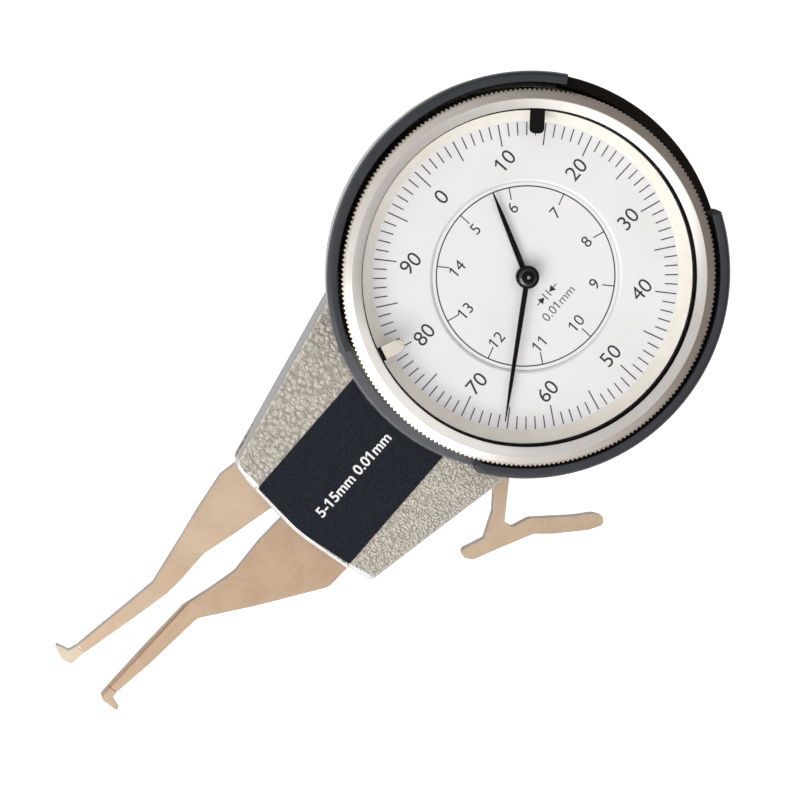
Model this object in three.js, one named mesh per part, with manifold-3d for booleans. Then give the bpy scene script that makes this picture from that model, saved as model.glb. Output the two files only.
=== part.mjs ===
// Internal dial caliper gauge, 5 to 15 mm by 0.01 mm, as an assembly of its separate pieces.
// Millimetres. The gauge lies on its back: +Z comes out of the dial face, the origin is on the dial axis at the
// rear flat face, +X runs from the measuring tips towards the dial end, +Y is the side of the dial's 0 mark.
import * as THREE from "three";
import { mergeVertices } from "three/addons/utils/BufferGeometryUtils.js";
import Module from "manifold-3d";

const wasm = await Module();
wasm.setup();

// ---------------------------------------------------------------- driving dimensions
const SEG = 40; // sides of the large turned pieces
// heights
const Z_FLOOR = 1.6; // inner face of the rear cover
const Z_PART = 6.8; // parting plane between rear cover and front shell
const Z_NECK = 12.5; // top face of the neck
const Z_ROOF = 11.0; // underside of the neck's roof
const Z_RIM = 14.1; // top of the dial cup's outer wall
const Z_COLLAR = 15.8; // top of the collar the bezel turns on
const Z_DIAL = 17.2; // face of the outer dial ring
const Z_KNURL = 20.95; // upper edge of the knurl
const Z_BEZEL = 21.75; // top of the bezel
const Z_BUMPER = 20.1; // top of the bumper ring's raised arcs
const Z_BUMPER_LOW = 13.4; // top of its low arcs
// radii about the dial axis
const R_COVER = 31.6;
const R_SHELL_LOW = 32.6;
const R_SHELL = 31.0;
const R_CAVITY = 27.5;
const R_LEDGE = 24.8;
const R_WELL = 27.2;
const R_COLLAR = 28.9;
const R_KNURL = 31.6;
// the bumper ring lies a little towards +X of the dial axis
const BUMPER_X = 0.35;
const R_BUMPER_IN = 32.3;
const R_BUMPER = 34.2;
const R_BUMPER_LOW = 33.85;
// neck
const NECK = [
  [-23.0, 22.4, 0],
  [-55.95, 15.45, 1.7],
  [-56.95, 11.2, 4],
  [-58.15, 0.0, 30],
  [-57.0, -11.2, 4],
  [-56.2, -15.15, 1.9],
  [-23.0, -22.1, 0],
];
const EDGE = 0.6; // bevel on the edges of the housing
const FRONT_EDGE = 1.3; // the wider one on the neck's front edge, beside the label
// arms: two flat blades, one above the other, so the fingers pass each other when the tips close
const FIXED_Z = [1.8, 4.1];
const MOVING_Z = [4.4, 6.8];
const PIVOT = [-44.7, 0];
const AXLE_R = 2.0;
// gear train: module 0.2 sector and wheels, module 0.25 pair for the short hand
const SECTOR_TEETH = 348; // teeth a full circle would have
const SECTOR_R = 34.8;
const PINION_TEETH = 10;
const WHEEL_TEETH = 100;
const PAIR_TEETH = 44;
const M1 = 0.2;
const M2 = 0.25;
const MESH_DIST = 11.0;
const TRAIN_TURN = (-31.617 * Math.PI) / 180; // direction of the line through the three arbors
const ARBOR_1 = [-MESH_DIST * Math.cos(TRAIN_TURN), -MESH_DIST * Math.sin(TRAIN_TURN)];
const ARBOR_2 = [MESH_DIST * Math.cos(TRAIN_TURN), MESH_DIST * Math.sin(TRAIN_TURN)];
const SECTOR_LINE = Math.atan2(ARBOR_1[1] - PIVOT[1], ARBOR_1[0] - PIVOT[0]);
const SECTOR_Z = [6.8, 8.0];
const WHEEL_Z = [9.0, 9.6];
const PAIR_Z = [10.6, 11.2];
const PLATE_LOW_Z = [3.2, 4.4];
const PLATE_TOP_Z = [12.2, 13.4];
const PILLAR_R = 22.5;
const PILLARS = [15, 125, 255];
const TOP_SCREWS = [60, 180, 300];
const COVER_SCREWS = [
  [-42.5, 14.0],
  [-42.5, -14.0],
  [18.77, 22.37],
  [18.77, -22.37],
];
const ARM_SCREWS = [
  [-54.0, -8.4],
  [-48.0, -9.6],
];
const ARM_DOWEL = [-54.0, -0.6];
// hands and markers
const LONG_HAND = { angle: 261.6 - 48.8, length: 24.6 };
const SHORT_HAND = { angle: 112.3 - 48.8, length: 15.2 };
const MARKER_DARK = 38.9;
const MARKER_PALE = 157.8;

// ---------------------------------------------------------------- helpers
const rad = (d) => (d * Math.PI) / 180;
const polar = (r, deg, c = [0, 0]) => [c[0] + r * Math.cos(rad(deg)), c[1] + r * Math.sin(rad(deg))];

function solid(geometry) {
  const plain = new THREE.BufferGeometry().setAttribute("position", geometry.getAttribute("position"));
  if (geometry.index) plain.setIndex(geometry.index);
  const merged = mergeVertices(plain, 1e-4);
  const p = merged.attributes.position.array;
  const index = merged.index.array;
  const tris = [];
  let volume = 0;
  for (let i = 0; i < index.length; i += 3) {
    const [a, b, c] = [index[i], index[i + 1], index[i + 2]];
    if (a === b || b === c || a === c) continue;
    tris.push(a, b, c);
    const [A, B, C] = [a, b, c].map((k) => new THREE.Vector3(p[3 * k], p[3 * k + 1], p[3 * k + 2]));
    volume += A.dot(B.cross(C)) / 6;
  }
  if (volume < 0) for (let i = 0; i < tris.length; i += 3) [tris[i + 1], tris[i + 2]] = [tris[i + 2], tris[i + 1]];
  return new wasm.Manifold(
    new wasm.Mesh({ numProp: 3, vertProperties: new Float32Array(p), triVerts: new Uint32Array(tris) }),
  );
}

function shapeOf(points, holes = []) {
  const shape = new THREE.Shape(points.map((q) => new THREE.Vector2(q[0], q[1])));
  for (const hole of holes) shape.holes.push(new THREE.Path(hole.map((q) => new THREE.Vector2(q[0], q[1]))));
  return shape;
}

// A prism over an outline between two heights; bevel cuts both of its edges back.
function prism(points, z0, z1, holes = [], bevel = 0) {
  const g = new THREE.ExtrudeGeometry(shapeOf(points, holes), {
    depth: z1 - z0 - 2 * bevel,
    bevelEnabled: bevel > 0,
    bevelThickness: bevel,
    bevelSize: bevel,
    bevelOffset: -bevel,
    bevelSegments: 1,
    steps: 1,
  });
  g.translate(0, 0, z0 + bevel);
  return solid(g);
}

const disc = (c, r, z0, z1, n = 24, turn = 0) => {
  const g = new THREE.CylinderGeometry(r, r, z1 - z0, n, 1);
  g.rotateX(Math.PI / 2);
  g.rotateZ(rad(turn));
  g.translate(c[0], c[1], (z0 + z1) / 2);
  return solid(g);
};

// A turned piece: the profile is a list of [radius, height] that closes on itself.
function turned(profile, n, c = [0, 0]) {
  const pts = profile.concat([profile[0]]).map((q) => new THREE.Vector2(q[0], q[1]));
  const g = new THREE.LatheGeometry(pts, n);
  g.rotateX(Math.PI / 2);
  g.translate(c[0], c[1], 0);
  return solid(g);
}

// An outline with its corners rounded: points are [x, y, radius].
function rounded(points, steps = 4) {
  const out = [];
  const n = points.length;
  points.forEach((q, i) => {
    const r = q[2] || 0;
    const a = new THREE.Vector2(...points[(i + n - 1) % n].slice(0, 2));
    const b = new THREE.Vector2(q[0], q[1]);
    const c = new THREE.Vector2(...points[(i + 1) % n].slice(0, 2));
    if (!r) return void out.push([q[0], q[1]]);
    const u = a.clone().sub(b).normalize();
    const v = c.clone().sub(b).normalize();
    const half = Math.acos(Math.max(-1, Math.min(1, u.dot(v)))) / 2;
    const cut = Math.min(r / Math.tan(half), a.distanceTo(b) * 0.49, b.distanceTo(c) * 0.49);
    const s = b.clone().addScaledVector(u, cut);
    const e = b.clone().addScaledVector(v, cut);
    for (let k = 0; k <= steps; k++) {
      const t = k / steps;
      const w = s
        .clone()
        .multiplyScalar((1 - t) * (1 - t))
        .addScaledVector(b, 2 * t * (1 - t))
        .addScaledVector(e, t * t);
      out.push([w.x, w.y]);
    }
  });
  return out;
}

// A bent wire: a round section carried along a list of points, closed at both ends.
function wire(path, r, n = 6) {
  const pts = path.map((q) => new THREE.Vector3(...q));
  const pos = [];
  const tan = pts.map((q, i) =>
    pts[Math.min(i + 1, pts.length - 1)].clone().sub(pts[Math.max(i - 1, 0)]).normalize(),
  );
  let up = new THREE.Vector3(0, 0, 1);
  pts.forEach((q, i) => {
    const side = new THREE.Vector3().crossVectors(tan[i], up).normalize();
    up = new THREE.Vector3().crossVectors(side, tan[i]).normalize();
    for (let k = 0; k < n; k++) {
      const a = (2 * Math.PI * k) / n;
      const v = q
        .clone()
        .addScaledVector(side, r * Math.cos(a))
        .addScaledVector(up, r * Math.sin(a));
      pos.push(v.x, v.y, v.z);
    }
  });
  const last = (pts.length - 1) * n;
  const index = [];
  for (let i = 0; i < pts.length - 1; i++)
    for (let k = 0; k < n; k++) {
      const [a, b] = [i * n + k, i * n + ((k + 1) % n)];
      index.push(a, a + n, b, b, a + n, b + n);
    }
  for (let k = 1; k < n - 1; k++) index.push(0, k, k + 1, last, last + k + 1, last + k);
  const g = new THREE.BufferGeometry()
    .setAttribute("position", new THREE.BufferAttribute(new Float32Array(pos), 3))
    .setIndex(index);
  return solid(g);
}

// Outline of a gear's teeth between two tooth numbers, with a tooth centred on angle `turn` (radians).
function toothOutline(c, teeth, m, { add, ded, thick, turn, from = 0, to = teeth - 1, points = 2 }) {
  const rp = (teeth * m) / 2;
  const rb = rp * Math.cos(rad(20));
  const inv = (a) => Math.tan(a) - a;
  const half = (rho) => thick / (2 * rp) + inv(rad(20)) - (rho > rb ? inv(Math.acos(rb / rho)) : 0);
  const radii = [];
  for (let k = 0; k < points; k++) radii.push(rp - ded + ((add + ded) * k) / (points - 1));
  const out = [];
  for (let i = from; i <= to; i++) {
    const mid = turn + (2 * Math.PI * i) / teeth;
    if (!thick) {
      // pointed teeth with V gaps
      const gapAngle = mid + Math.PI / teeth;
      out.push([c[0] + (rp + add) * Math.cos(mid), c[1] + (rp + add) * Math.sin(mid)]);
      if (i < to || to - from === teeth - 1)
        out.push([c[0] + (rp - ded) * Math.cos(gapAngle), c[1] + (rp - ded) * Math.sin(gapAngle)]);
      continue;
    }
    for (const rho of radii) out.push([c[0] + rho * Math.cos(mid - half(rho)), c[1] + rho * Math.sin(mid - half(rho))]);
    for (const rho of [...radii].reverse())
      out.push([c[0] + rho * Math.cos(mid + half(rho)), c[1] + rho * Math.sin(mid + half(rho))]);
  }
  return out;
}

function add(...solids) {
  return solids.reduce((a, b) => a.add(b));
}
function cut(base, ...tools) {
  return tools.reduce((a, b) => a.subtract(b), base);
}

const group = new THREE.Group();
group.name = "internal_dial_caliper_gauge";
function place(name, body, color, roughness, metalness) {
  const m = body.getMesh();
  const v = new Float32Array(m.numVert * 3);
  for (let i = 0; i < m.numVert; i++)
    v.set(m.vertProperties.subarray(i * m.numProp, i * m.numProp + 3), i * 3);
  const g = new THREE.BufferGeometry()
    .setAttribute("position", new THREE.BufferAttribute(v, 3))
    .setIndex(new THREE.BufferAttribute(new Uint32Array(m.triVerts), 1));
  g.computeVertexNormals();
  const mesh = new THREE.Mesh(g, new THREE.MeshStandardMaterial({ color, roughness, metalness, flatShading: true }));
  mesh.name = name;
  group.add(mesh);
}

const BRASS = [0xc9a54e, 0.35, 1.0];
const STEEL = [0xb9b9bb, 0.3, 1.0];
const BLADE = [0xc7ac92, 0.35, 0.9];
const CHROME = [0xe0ddd6, 0.22, 1.0];
const PAINT = [0xaaa596, 0.55, 0.3];
const BLACK = [0x17181a, 0.45, 0.0];

// A screw whose head starts at z0 and whose shank points to `dir` (+1 up, -1 down).
function screw(c, zHead, headH, headR, shankR, shankEnd, dir, turn = 20) {
  const zh = zHead + dir * headH;
  const [a, b] = [Math.min(zHead, zh), Math.max(zHead, zh)];
  const [s, e] = dir > 0 ? [zh - 0.1, shankEnd] : [shankEnd, zh + 0.1];
  const slotZ = dir > 0 ? [a - 1, a + headH * 0.45] : [b - headH * 0.45, b + 1];
  const slot = new THREE.BoxGeometry(headR * 3, headR * 0.34, slotZ[1] - slotZ[0]);
  slot.rotateZ(rad(turn));
  slot.translate(c[0], c[1], (slotZ[0] + slotZ[1]) / 2);
  return cut(add(disc(c, headR, a, b, 12), disc(c, shankR, s, e, 8)), solid(slot));
}

// ---------------------------------------------------------------- housing
const neckOutline = rounded(NECK, 3);
const neckInner = rounded(
  [
    [-24.0, 20.2, 0],
    [-53.2, 13.7, 0.8],
    [-55.2, 8.0, 2],
    [-55.8, 0.0, 20],
    [-55.2, -8.0, 2],
    [-53.2, -13.7, 0.8],
    [-24.0, -20.2, 0],
  ],
  2,
);
const neckRear = rounded(
  [
    [-22.5, 22.0, 0],
    [-55.6, 15.1, 1.7],
    [-56.55, 11.0, 4],
    [-57.7, 0.0, 30],
    [-56.6, -11.0, 4],
    [-55.8, -14.75, 1.9],
    [-22.5, -21.6, 0],
  ],
  3,
);
const leverSlot = [
  [-34.6, -17.5],
  [-27.0, -10.0],
  [-20.0, -16.0],
  [-22.4, -27.5],
  [-30.0, -33.0],
  [-38.6, -24.5],
];

{
  // front shell: dial cup and neck, open at the rear; the bezel's collar stands on its rim
  const cup = turned(
    [
      [R_LEDGE, 10.4],
      [R_LEDGE, PLATE_TOP_Z[0]],
      [R_WELL, PLATE_TOP_Z[0]],
      [R_WELL, Z_COLLAR],
      [R_COLLAR, Z_COLLAR],
      [R_COLLAR, 15.4],
      [28.3, 15.4],
      [28.3, 14.85],
      [R_COLLAR, 14.85],
      [R_COLLAR, Z_RIM],
      [R_SHELL, Z_RIM],
      [R_SHELL, 9.5],
      [R_SHELL_LOW, 9.5],
      [R_SHELL_LOW, Z_PART + 0.4],
      [R_SHELL_LOW - 0.4, Z_PART],
      [R_CAVITY, Z_PART],
      [R_CAVITY, 10.4],
    ],
    SEG,
  );
  const front = [
    [-20, 40],
    [-55.95, 40],
    ...neckOutline.filter((q) => q[0] < -56.3),
    [-56.2, -40],
    [-20, -40],
  ];
  const box = [
    [-21, 30],
    [-65, 30],
    [-65, -30],
    [-21, -30],
  ];
  const neck = cut(
    add(
      cut(
        prism(neckOutline, Z_PART, Z_NECK, [], EDGE),
        cut(
          prism(box, Z_NECK - FRONT_EDGE - 0.5, Z_NECK + 0.1),
          prism(front, Z_NECK - 4, Z_NECK + 0.3, [], FRONT_EDGE + 0.3),
        ),
      ),
      // seat of the label
      prism(
        [
          [-36, 10.4],
          [-56.85, 10.4],
          [-57.3, 6],
          [-57.6, 1.6],
          [-57.6, -1.6],
          [-57.3, -6],
          [-56.85, -10.6],
          [-36, -10.6],
        ],
        Z_ROOF,
        Z_NECK,
        [],
        0.35,
      ),
    ),
    prism(neckInner, Z_PART - 1, Z_ROOF),
    disc([0, 0], R_CAVITY + 1.2, Z_PART - 1, Z_NECK + 1, SEG),
  );
  let body = add(cup, neck);
  // the neck and the cup share one hollow
  body = cut(
    body,
    prism(
      [
        [-20, 16.5],
        [-34, 16.5],
        [-34, -16.5],
        [-20, -16.5],
      ],
      Z_PART - 1,
      10.4,
    ),
  );
  const bosses = COVER_SCREWS.slice(0, 2).map((c) =>
    prism(
      rounded(
        [
          [c[0] - 2.1, c[1] - 2.1, 1.4],
          [c[0] + 2.1, c[1] - 2.1, 1.4],
          [c[0] + 2.1, c[1] + 2.1, 1.4],
          [c[0] - 2.1, c[1] + 2.1, 1.4],
        ],
        2,
      ),
      Z_PART,
      Z_ROOF + 0.3,
    ),
  );
  body = add(body, ...bosses, disc(PIVOT, 3.1, 8.4, Z_ROOF + 0.3, 24));
  body = cut(
    body,
    disc(PIVOT, AXLE_R + 0.05, 8.0, 10.6, 24),
    ...COVER_SCREWS.map((c) => disc(c, 0.95, Z_PART - 1, 10.2, 10)),
    ...TOP_SCREWS.map((a) => disc(polar(26.0, a), 0.7, 11.0, 13, 10)),
    disc(polar(13, 122, PIVOT), 0.65, 10.0, 11.6, 10),
    prism(leverSlot, Z_PART - 1, Z_PART + 0.35),
  );
  place("housing_front_shell", body, ...PAINT);
}
{
  // rear cover: closes the shell, carries the fixed arm and the pivot
  const rim = turned(
    [
      [0, 0],
      [R_COVER - 1.5, 0],
      [R_COVER, 1.5],
      [R_COVER, Z_PART - 0.4],
      [R_COVER - 0.4, Z_PART],
      [29.0, Z_PART],
      [29.0, Z_FLOOR],
      [0, Z_FLOOR],
    ],
    SEG,
  );
  let neck = prism(neckRear, 0, Z_PART, [], EDGE);
  neck = cut(neck, prism(neckInner, Z_FLOOR, Z_PART + 1), disc([0, 0], 29.0, Z_FLOOR, Z_PART + 1, SEG));
  let body = cut(
    add(rim, neck),
    prism(
      [
        [-20, 16.5],
        [-34, 16.5],
        [-34, -16.5],
        [-20, -16.5],
      ],
      Z_FLOOR,
      Z_PART + 1,
    ),
  );
  const pads = [
    prism(
      [
        [-56.0, 2.4],
        [-52.0, 2.4],
        [-52.0, -6.6],
        [-45.8, -7.4],
        [-45.8, -12.0],
        [-55.6, -11.0],
      ],
      Z_FLOOR - 0.3,
      FIXED_Z[0],
    ),
    disc(PIVOT, 3.6, Z_FLOOR - 0.3, FIXED_Z[1], 24),
    disc([-47.1, 10.2], 2.0, Z_FLOOR - 0.3, FIXED_Z[1], 16),
    disc([-32.7, -5.0], 2.0, Z_FLOOR - 0.3, FIXED_Z[1], 16),
    ...COVER_SCREWS.slice(0, 2).map((c) => disc(c, 2.6, Z_FLOOR - 0.3, Z_PART, 20)),
    ...COVER_SCREWS.slice(2).map((c) => disc(c, 2.2, Z_FLOOR - 0.3, Z_PART, 20)),
  ];
  body = add(body, ...pads);
  // the arms leave through a slot across the front that turns the corner on the +Y side
  const armSlot = prism(
    [
      [-60, -13.0],
      [-52.6, -13.0],
      [-52.6, 3.6],
      [-53.4, 11.6],
      [-49.2, 13.6],
      [-49.2, 18],
      [-60, 18],
    ],
    FIXED_Z[0],
    Z_PART + 1,
  );
  body = cut(
    body,
    armSlot,
    prism(leverSlot, FIXED_Z[1], Z_PART + 1),
    disc(PIVOT, AXLE_R + 0.05, 1.0, FIXED_Z[1] + 1, 24),
    disc([-47.1, 10.2], 1.05, 1.0, FIXED_Z[1] + 1, 12),
    disc([-32.7, -5.0], 1.05, 1.0, FIXED_Z[1] + 1, 12),
    ...COVER_SCREWS.map((c) => add(disc(c, 1.9, -1, 1.25, 16), disc(c, 1.1, -1, Z_PART + 1, 10))),
    ...ARM_SCREWS.map((c) => add(disc(c, 1.7, -1, 1.05, 16), disc(c, 0.95, -1, 3, 10))),
    disc(ARM_DOWEL, 0.85, -1, 3, 12),
  );
  place("housing_rear_cover", body, ...PAINT);
}
COVER_SCREWS.forEach((c, i) =>
  place("cover_screw_" + (i + 1), screw(c, 0.15, 1.1, 1.75, 0.85, 10.0, 1, 25 + 50 * i), ...STEEL),
);
{
  // bumper ring: two raised arcs guard the bezel, the lower arcs let a finger reach the knurl and clear the neck
  const wedge = (a, b, r) => {
    const out = [[0, 0]];
    const n = 12;
    for (let i = 0; i <= n; i++) out.push(polar(r, a + ((b - a) * i) / n));
    return out;
  };
  let ring = turned(
    [
      [31.5, 9.5],
      [R_BUMPER_LOW - 0.65, 9.5],
      [R_BUMPER_LOW - 0.45, 9.9],
      [R_BUMPER_LOW, Z_BUMPER_LOW - 0.2],
      [R_BUMPER, 18.9],
      [R_BUMPER - 0.12, 19.5],
      [R_BUMPER - 0.45, 19.9],
      [R_BUMPER - 0.95, Z_BUMPER],
      [R_BUMPER_IN + 0.2, Z_BUMPER],
      [R_BUMPER_IN, Z_BUMPER - 0.2],
      [R_BUMPER_IN, 12.4],
      [31.95, 12.0],
      [31.95, 10.4],
      [31.5, 10.4],
    ],
    SEG,
    [BUMPER_X, 0],
  );
  const over = (list, z0, z1) => prism(list, z0, z1);
  ring = cut(
    ring,
    over(wedge(-30.3, 30.3, 60), Z_BUMPER_LOW, 22),
    over(wedge(153.5, 206.5, 60), Z_BUMPER_LOW, 22),
    // it sits on the neck's top face
    prism(
      [
        [-20, 23.9],
        [-60, 14.9],
        [-60, -14.6],
        [-20, -23.4],
      ],
      0,
      Z_NECK,
    ),
  );
  place("bumper_ring", ring, 0x3c3d42, 0.6, 0.0);
}
{
  // label plate on the neck
  const plate = cut(
    prism(
      rounded(
        [
          [-30.0, 10.1, 0],
          [-56.4, 10.1, 0.4],
          [-57.45, 0, 20],
          [-56.2, -10.3, 0.4],
          [-30.0, -10.3, 0],
        ],
        3,
      ),
      Z_NECK,
      Z_NECK + 0.3,
    ),
    disc([BUMPER_X, 0], R_BUMPER_LOW + 0.15, Z_NECK - 1, Z_NECK + 1, SEG),
  );
  place("label_plate", plate, 0x23262f, 0.5, 0.0);
}

// ---------------------------------------------------------------- arms
{
  const outline = rounded(
    [
      [-99.1, 4.0, 0],
      [-92.0, 2.95, 1],
      [-80.6, 1.85, 2],
      [-72.3, -4.55, 3],
      [-61.9, -11.9, 3],
      [-57.4, -12.15, 1],
      [-52.0, -12.1, 0],
      [-45.9, -12.3, 0.6],
      [-45.9, -7.2, 0.6],
      [-51.6, -6.4, 1],
      [-51.6, 2.6, 0.6],
      [-58.1, 2.2, 0.5],
      [-63.8, 2.5, 2],
      [-70.3, 2.2, 2],
      [-74.7, 3.3, 2],
      [-80.5, 5.05, 2],
      [-90.0, 5.5, 3],
      [-99.2, 5.75, 0],
    ],
    2,
  );
  // the finger's inner edge is ground to a slope as far as its end
  const relief = wasm.Manifold.hull(
    [
      [-77.0, 4.93],
      [-104.0, 5.88],
    ].flatMap(([x, y]) => [
      [x, y - 0.42, FIXED_Z[1]],
      [x, y + 0.42, FIXED_Z[1] - 1.0],
      [x, y + 0.42, FIXED_Z[1] + 1.0],
      [x, y - 0.42, FIXED_Z[1] + 1.0],
    ]),
  );
  const arm = cut(
    prism(outline, ...FIXED_Z),
    ...ARM_SCREWS.map((c) => disc(c, 0.85, 1, 3.7, 10)),
    disc(ARM_DOWEL, 0.85, 1, 5, 12),
    relief,
  );
  place("fixed_arm", arm, ...BLADE);
  const tip = prism(
    rounded(
      [
        [-99.18, 4.0, 0],
        [-100.3, 3.9, 0.3],
        [-100.95, 1.85, 0.35],
        [-101.6, 2.0, 0.35],
        [-101.75, 4.95, 0.8],
        [-101.2, 5.78, 0.5],
        [-99.26, 5.75, 0],
      ],
      3,
    ),
    ...FIXED_Z,
  );
  place("fixed_arm_tip", cut(tip, relief), 0xd8cec0, 0.3, 0.9);
}
ARM_SCREWS.forEach((c, i) =>
  place("fixed_arm_screw_" + (i + 1), screw(c, 0.1, 0.9, 1.55, 0.75, 3.6, 1, 70 - 40 * i), ...STEEL),
);
place("fixed_arm_dowel", disc(ARM_DOWEL, 0.75, 0.3, 4.0, 12), ...STEEL);
{
  // moving arm: one blade with the finger lever, turning on the pivot
  const outline = rounded(
    [
      [-97.0, 14.87, 0],
      [-86.0, 13.0, 2],
      [-80.6, 12.1, 2],
      [-71.5, 13.6, 2],
      [-66.0, 14.6, 1],
      [-59.0, 15.5, 1.5],
      [-55.7, 14.8, 1],
      [-50.5, 11.6, 2],
      [-44.7, 6.6, 3],
      [-38.6, 2.6, 3],
      [-37.6, -3.4, 3],
      [-32.6, -12.4, 3],
      [-27.6, -17.6, 1.5],
      [-26.9, -22.35, 1],
      [-33.75, -27.2, 0.9],
      [-33.35, -28.8, 0.7],
      [-30.4, -29.95, 1.5],
      [-25.0, -35.7, 2],
      [-22.5, -37.9, 0.9],
      [-21.65, -39.5, 0.9],
      [-22.9, -40.7, 0.9],
      [-25.3, -39.2, 2],
      [-29.75, -34.95, 3],
      [-31.9, -32.4, 1],
      [-38.0, -29.3, 0],
      [-42.1, -27.35, 0.9],
      [-42.95, -25.8, 0.8],
      [-42.1, -24.6, 0.8],
      [-38.05, -26.3, 0.7],
      [-33.6, -24.35, 3],
      [-30.0, -21.5, 1.5],
      [-37.6, -13.6, 3],
      [-42.8, -7.4, 2],
      [-49.4, -6.0, 3],
      [-52.4, -1.2, 3],
      [-54.2, 3.6, 2],
      [-58.3, 5.3, 2],
      [-65.0, 7.0, 2],
      [-71.3, 8.8, 2],
      [-77.1, 8.8, 2],
      [-80.5, 9.1, 2],
      [-86.7, 10.5, 2],
      [-97.15, 13.08, 0],
    ],
    2,
  );
  const arm = cut(
    prism(outline, ...MOVING_Z),
    disc(PIVOT, 3.05, 4, 8, 24),
    disc(polar(5.2, 8, PIVOT), 0.6, 5.2, 8, 8),
    disc(polar(5.2, 108, PIVOT), 0.6, 5.2, 8, 8),
  );
  place("moving_arm", arm, ...BLADE);
  const tip = prism(
    rounded(
      [
        [-97.06, 14.89, 0],
        [-98.55, 15.4, 0.3],
        [-99.08, 17.6, 0.3],
        [-99.62, 17.55, 0.35],
        [-100.5, 15.35, 0.8],
        [-100.15, 13.6, 0.8],
        [-97.21, 13.1, 0],
      ],
      3,
    ),
    ...MOVING_Z,
  );
  place("moving_arm_tip", tip, 0xd8cec0, 0.3, 0.9);
  place(
    "pivot_bush",
    turned(
      [
        [AXLE_R + 0.08, 4.3],
        [2.98, 4.3],
        [2.98, 8.15],
        [AXLE_R + 0.08, 8.15],
      ],
      24,
      PIVOT,
    ),
    ...BRASS,
  );
}
place("pivot_axle", disc(PIVOT, AXLE_R, 1.2, 10.4, 24), ...STEEL);
place("stop_pin_open", disc([-47.1, 10.2], 1.0, 1.2, 6.5, 12), ...STEEL);
place("stop_pin_closed", disc([-32.7, -5.0], 1.0, 1.2, 6.5, 12), ...STEEL);

// ---------------------------------------------------------------- gear train
{
  // toothed sector on the moving arm
  const deg = (SECTOR_LINE * 180) / Math.PI;
  const step = 360 / SECTOR_TEETH;
  const teeth = toothOutline(PIVOT, SECTOR_TEETH, M1, {
    add: 0.13,
    ded: 0.25,
    thick: 0.26,
    turn: SECTOR_LINE,
    from: -13,
    to: 2,
  });
  const a0 = deg - 13.6 * step;
  const a1 = deg + 2.6 * step;
  const out = [polar(SECTOR_R - 0.25, a0, PIVOT), ...teeth, polar(SECTOR_R - 0.25, a1, PIVOT)];
  const inner = [
    polar(30.5, a1, PIVOT),
    polar(27.0, a1 - 2.5, PIVOT),
    polar(9.0, 14, PIVOT),
    polar(7.0, 45, PIVOT),
    polar(6.4, 75, PIVOT),
    polar(6.6, 108, PIVOT),
    polar(6.2, 140, PIVOT),
    polar(5.0, 180, PIVOT),
    polar(5.0, 225, PIVOT),
    polar(5.2, 270, PIVOT),
    polar(6.0, 315, PIVOT),
    polar(8.0, 345, PIVOT),
    polar(27.0, a0 + 2.5, PIVOT),
    polar(30.5, a0, PIVOT),
  ];
  const window = [
    polar(13.0, -2, PIVOT),
    polar(27.0, a0 + 5.4, PIVOT),
    polar(30.2, a0 + 4.6, PIVOT),
    polar(30.2, a1 - 4.6, PIVOT),
    polar(27.0, a1 - 5.4, PIVOT),
    polar(13.0, 9, PIVOT),
  ];
  const plate = cut(
    prism(out.concat(inner), ...SECTOR_Z, [window]),
    disc(PIVOT, 3.05, 6, 9, 24),
    disc(polar(5.2, 8, PIVOT), 0.7, 6, 9, 8),
    disc(polar(5.2, 108, PIVOT), 0.7, 6, 9, 8),
    disc(polar(11, 3.5, PIVOT), 0.6, 6, 9, 8),
  );
  place("sector_gear", plate, ...BRASS);
  place("sector_screw_1", screw(polar(5.2, 8, PIVOT), 8.35, 0.35, 1.0, 0.55, 5.4, -1, 10), ...STEEL);
  place("sector_screw_2", screw(polar(5.2, 108, PIVOT), 8.35, 0.35, 1.0, 0.55, 5.4, -1, 60), ...STEEL);
  place("spring_drive_pin", disc(polar(11, 3.5, PIVOT), 0.5, 7.0, 9.4, 10), ...STEEL);
  place("spring_anchor_pin", disc(polar(13, 122, PIVOT), 0.55, 9.4, 11.4, 10), ...STEEL);
}
{
  // return spring: a coil round the pivot boss with one leg on each pin
  const path = [];
  const r = 4.35;
  const legA = polar(12.4, 3.5 + 5.0, PIVOT);
  // lower leg runs from the drive pin to the coil
  const a0 = Math.acos(r / 12.4) * (180 / Math.PI);
  const begin = 8.5 + a0;
  path.push([...legA, 8.62]);
  path.push([(legA[0] + polar(r, begin, PIVOT)[0]) / 2, (legA[1] + polar(r, begin, PIVOT)[1]) / 2, 8.64]);
  const end = 116.0 - Math.acos(r / 14.0) * (180 / Math.PI);
  const total = 360 * 3 + (end - begin);
  const n = Math.round(total / 24);
  for (let i = 0; i <= n; i++) {
    const a = begin + (total * i) / n;
    path.push([...polar(r, a, PIVOT), 8.65 + (1.55 * i) / n]);
  }
  const legB = polar(14.0, 116.0, PIVOT);
  path.push([...legB, 10.22]);
  place("return_spring", wire(path, 0.25, 5), ...STEEL);
}
const wheelHoles = (c, r1, r2, n, turn, gap) => {
  const out = [];
  for (let i = 0; i < n; i++) {
    const a = turn + (360 * i) / n + gap;
    const b = turn + (360 * (i + 1)) / n - gap;
    const k = gap * (r2 / r1) * 0.9;
    const hole = [];
    for (let j = 0; j <= 4; j++) hole.push(polar(r2, a + ((b - a) * j) / 4, c));
    for (let j = 0; j <= 2; j++) hole.push(polar(r1, b + gap - k - ((b - a + 2 * gap - 2 * k) * j) / 2, c));
    out.push(hole);
  }
  return out;
};
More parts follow.
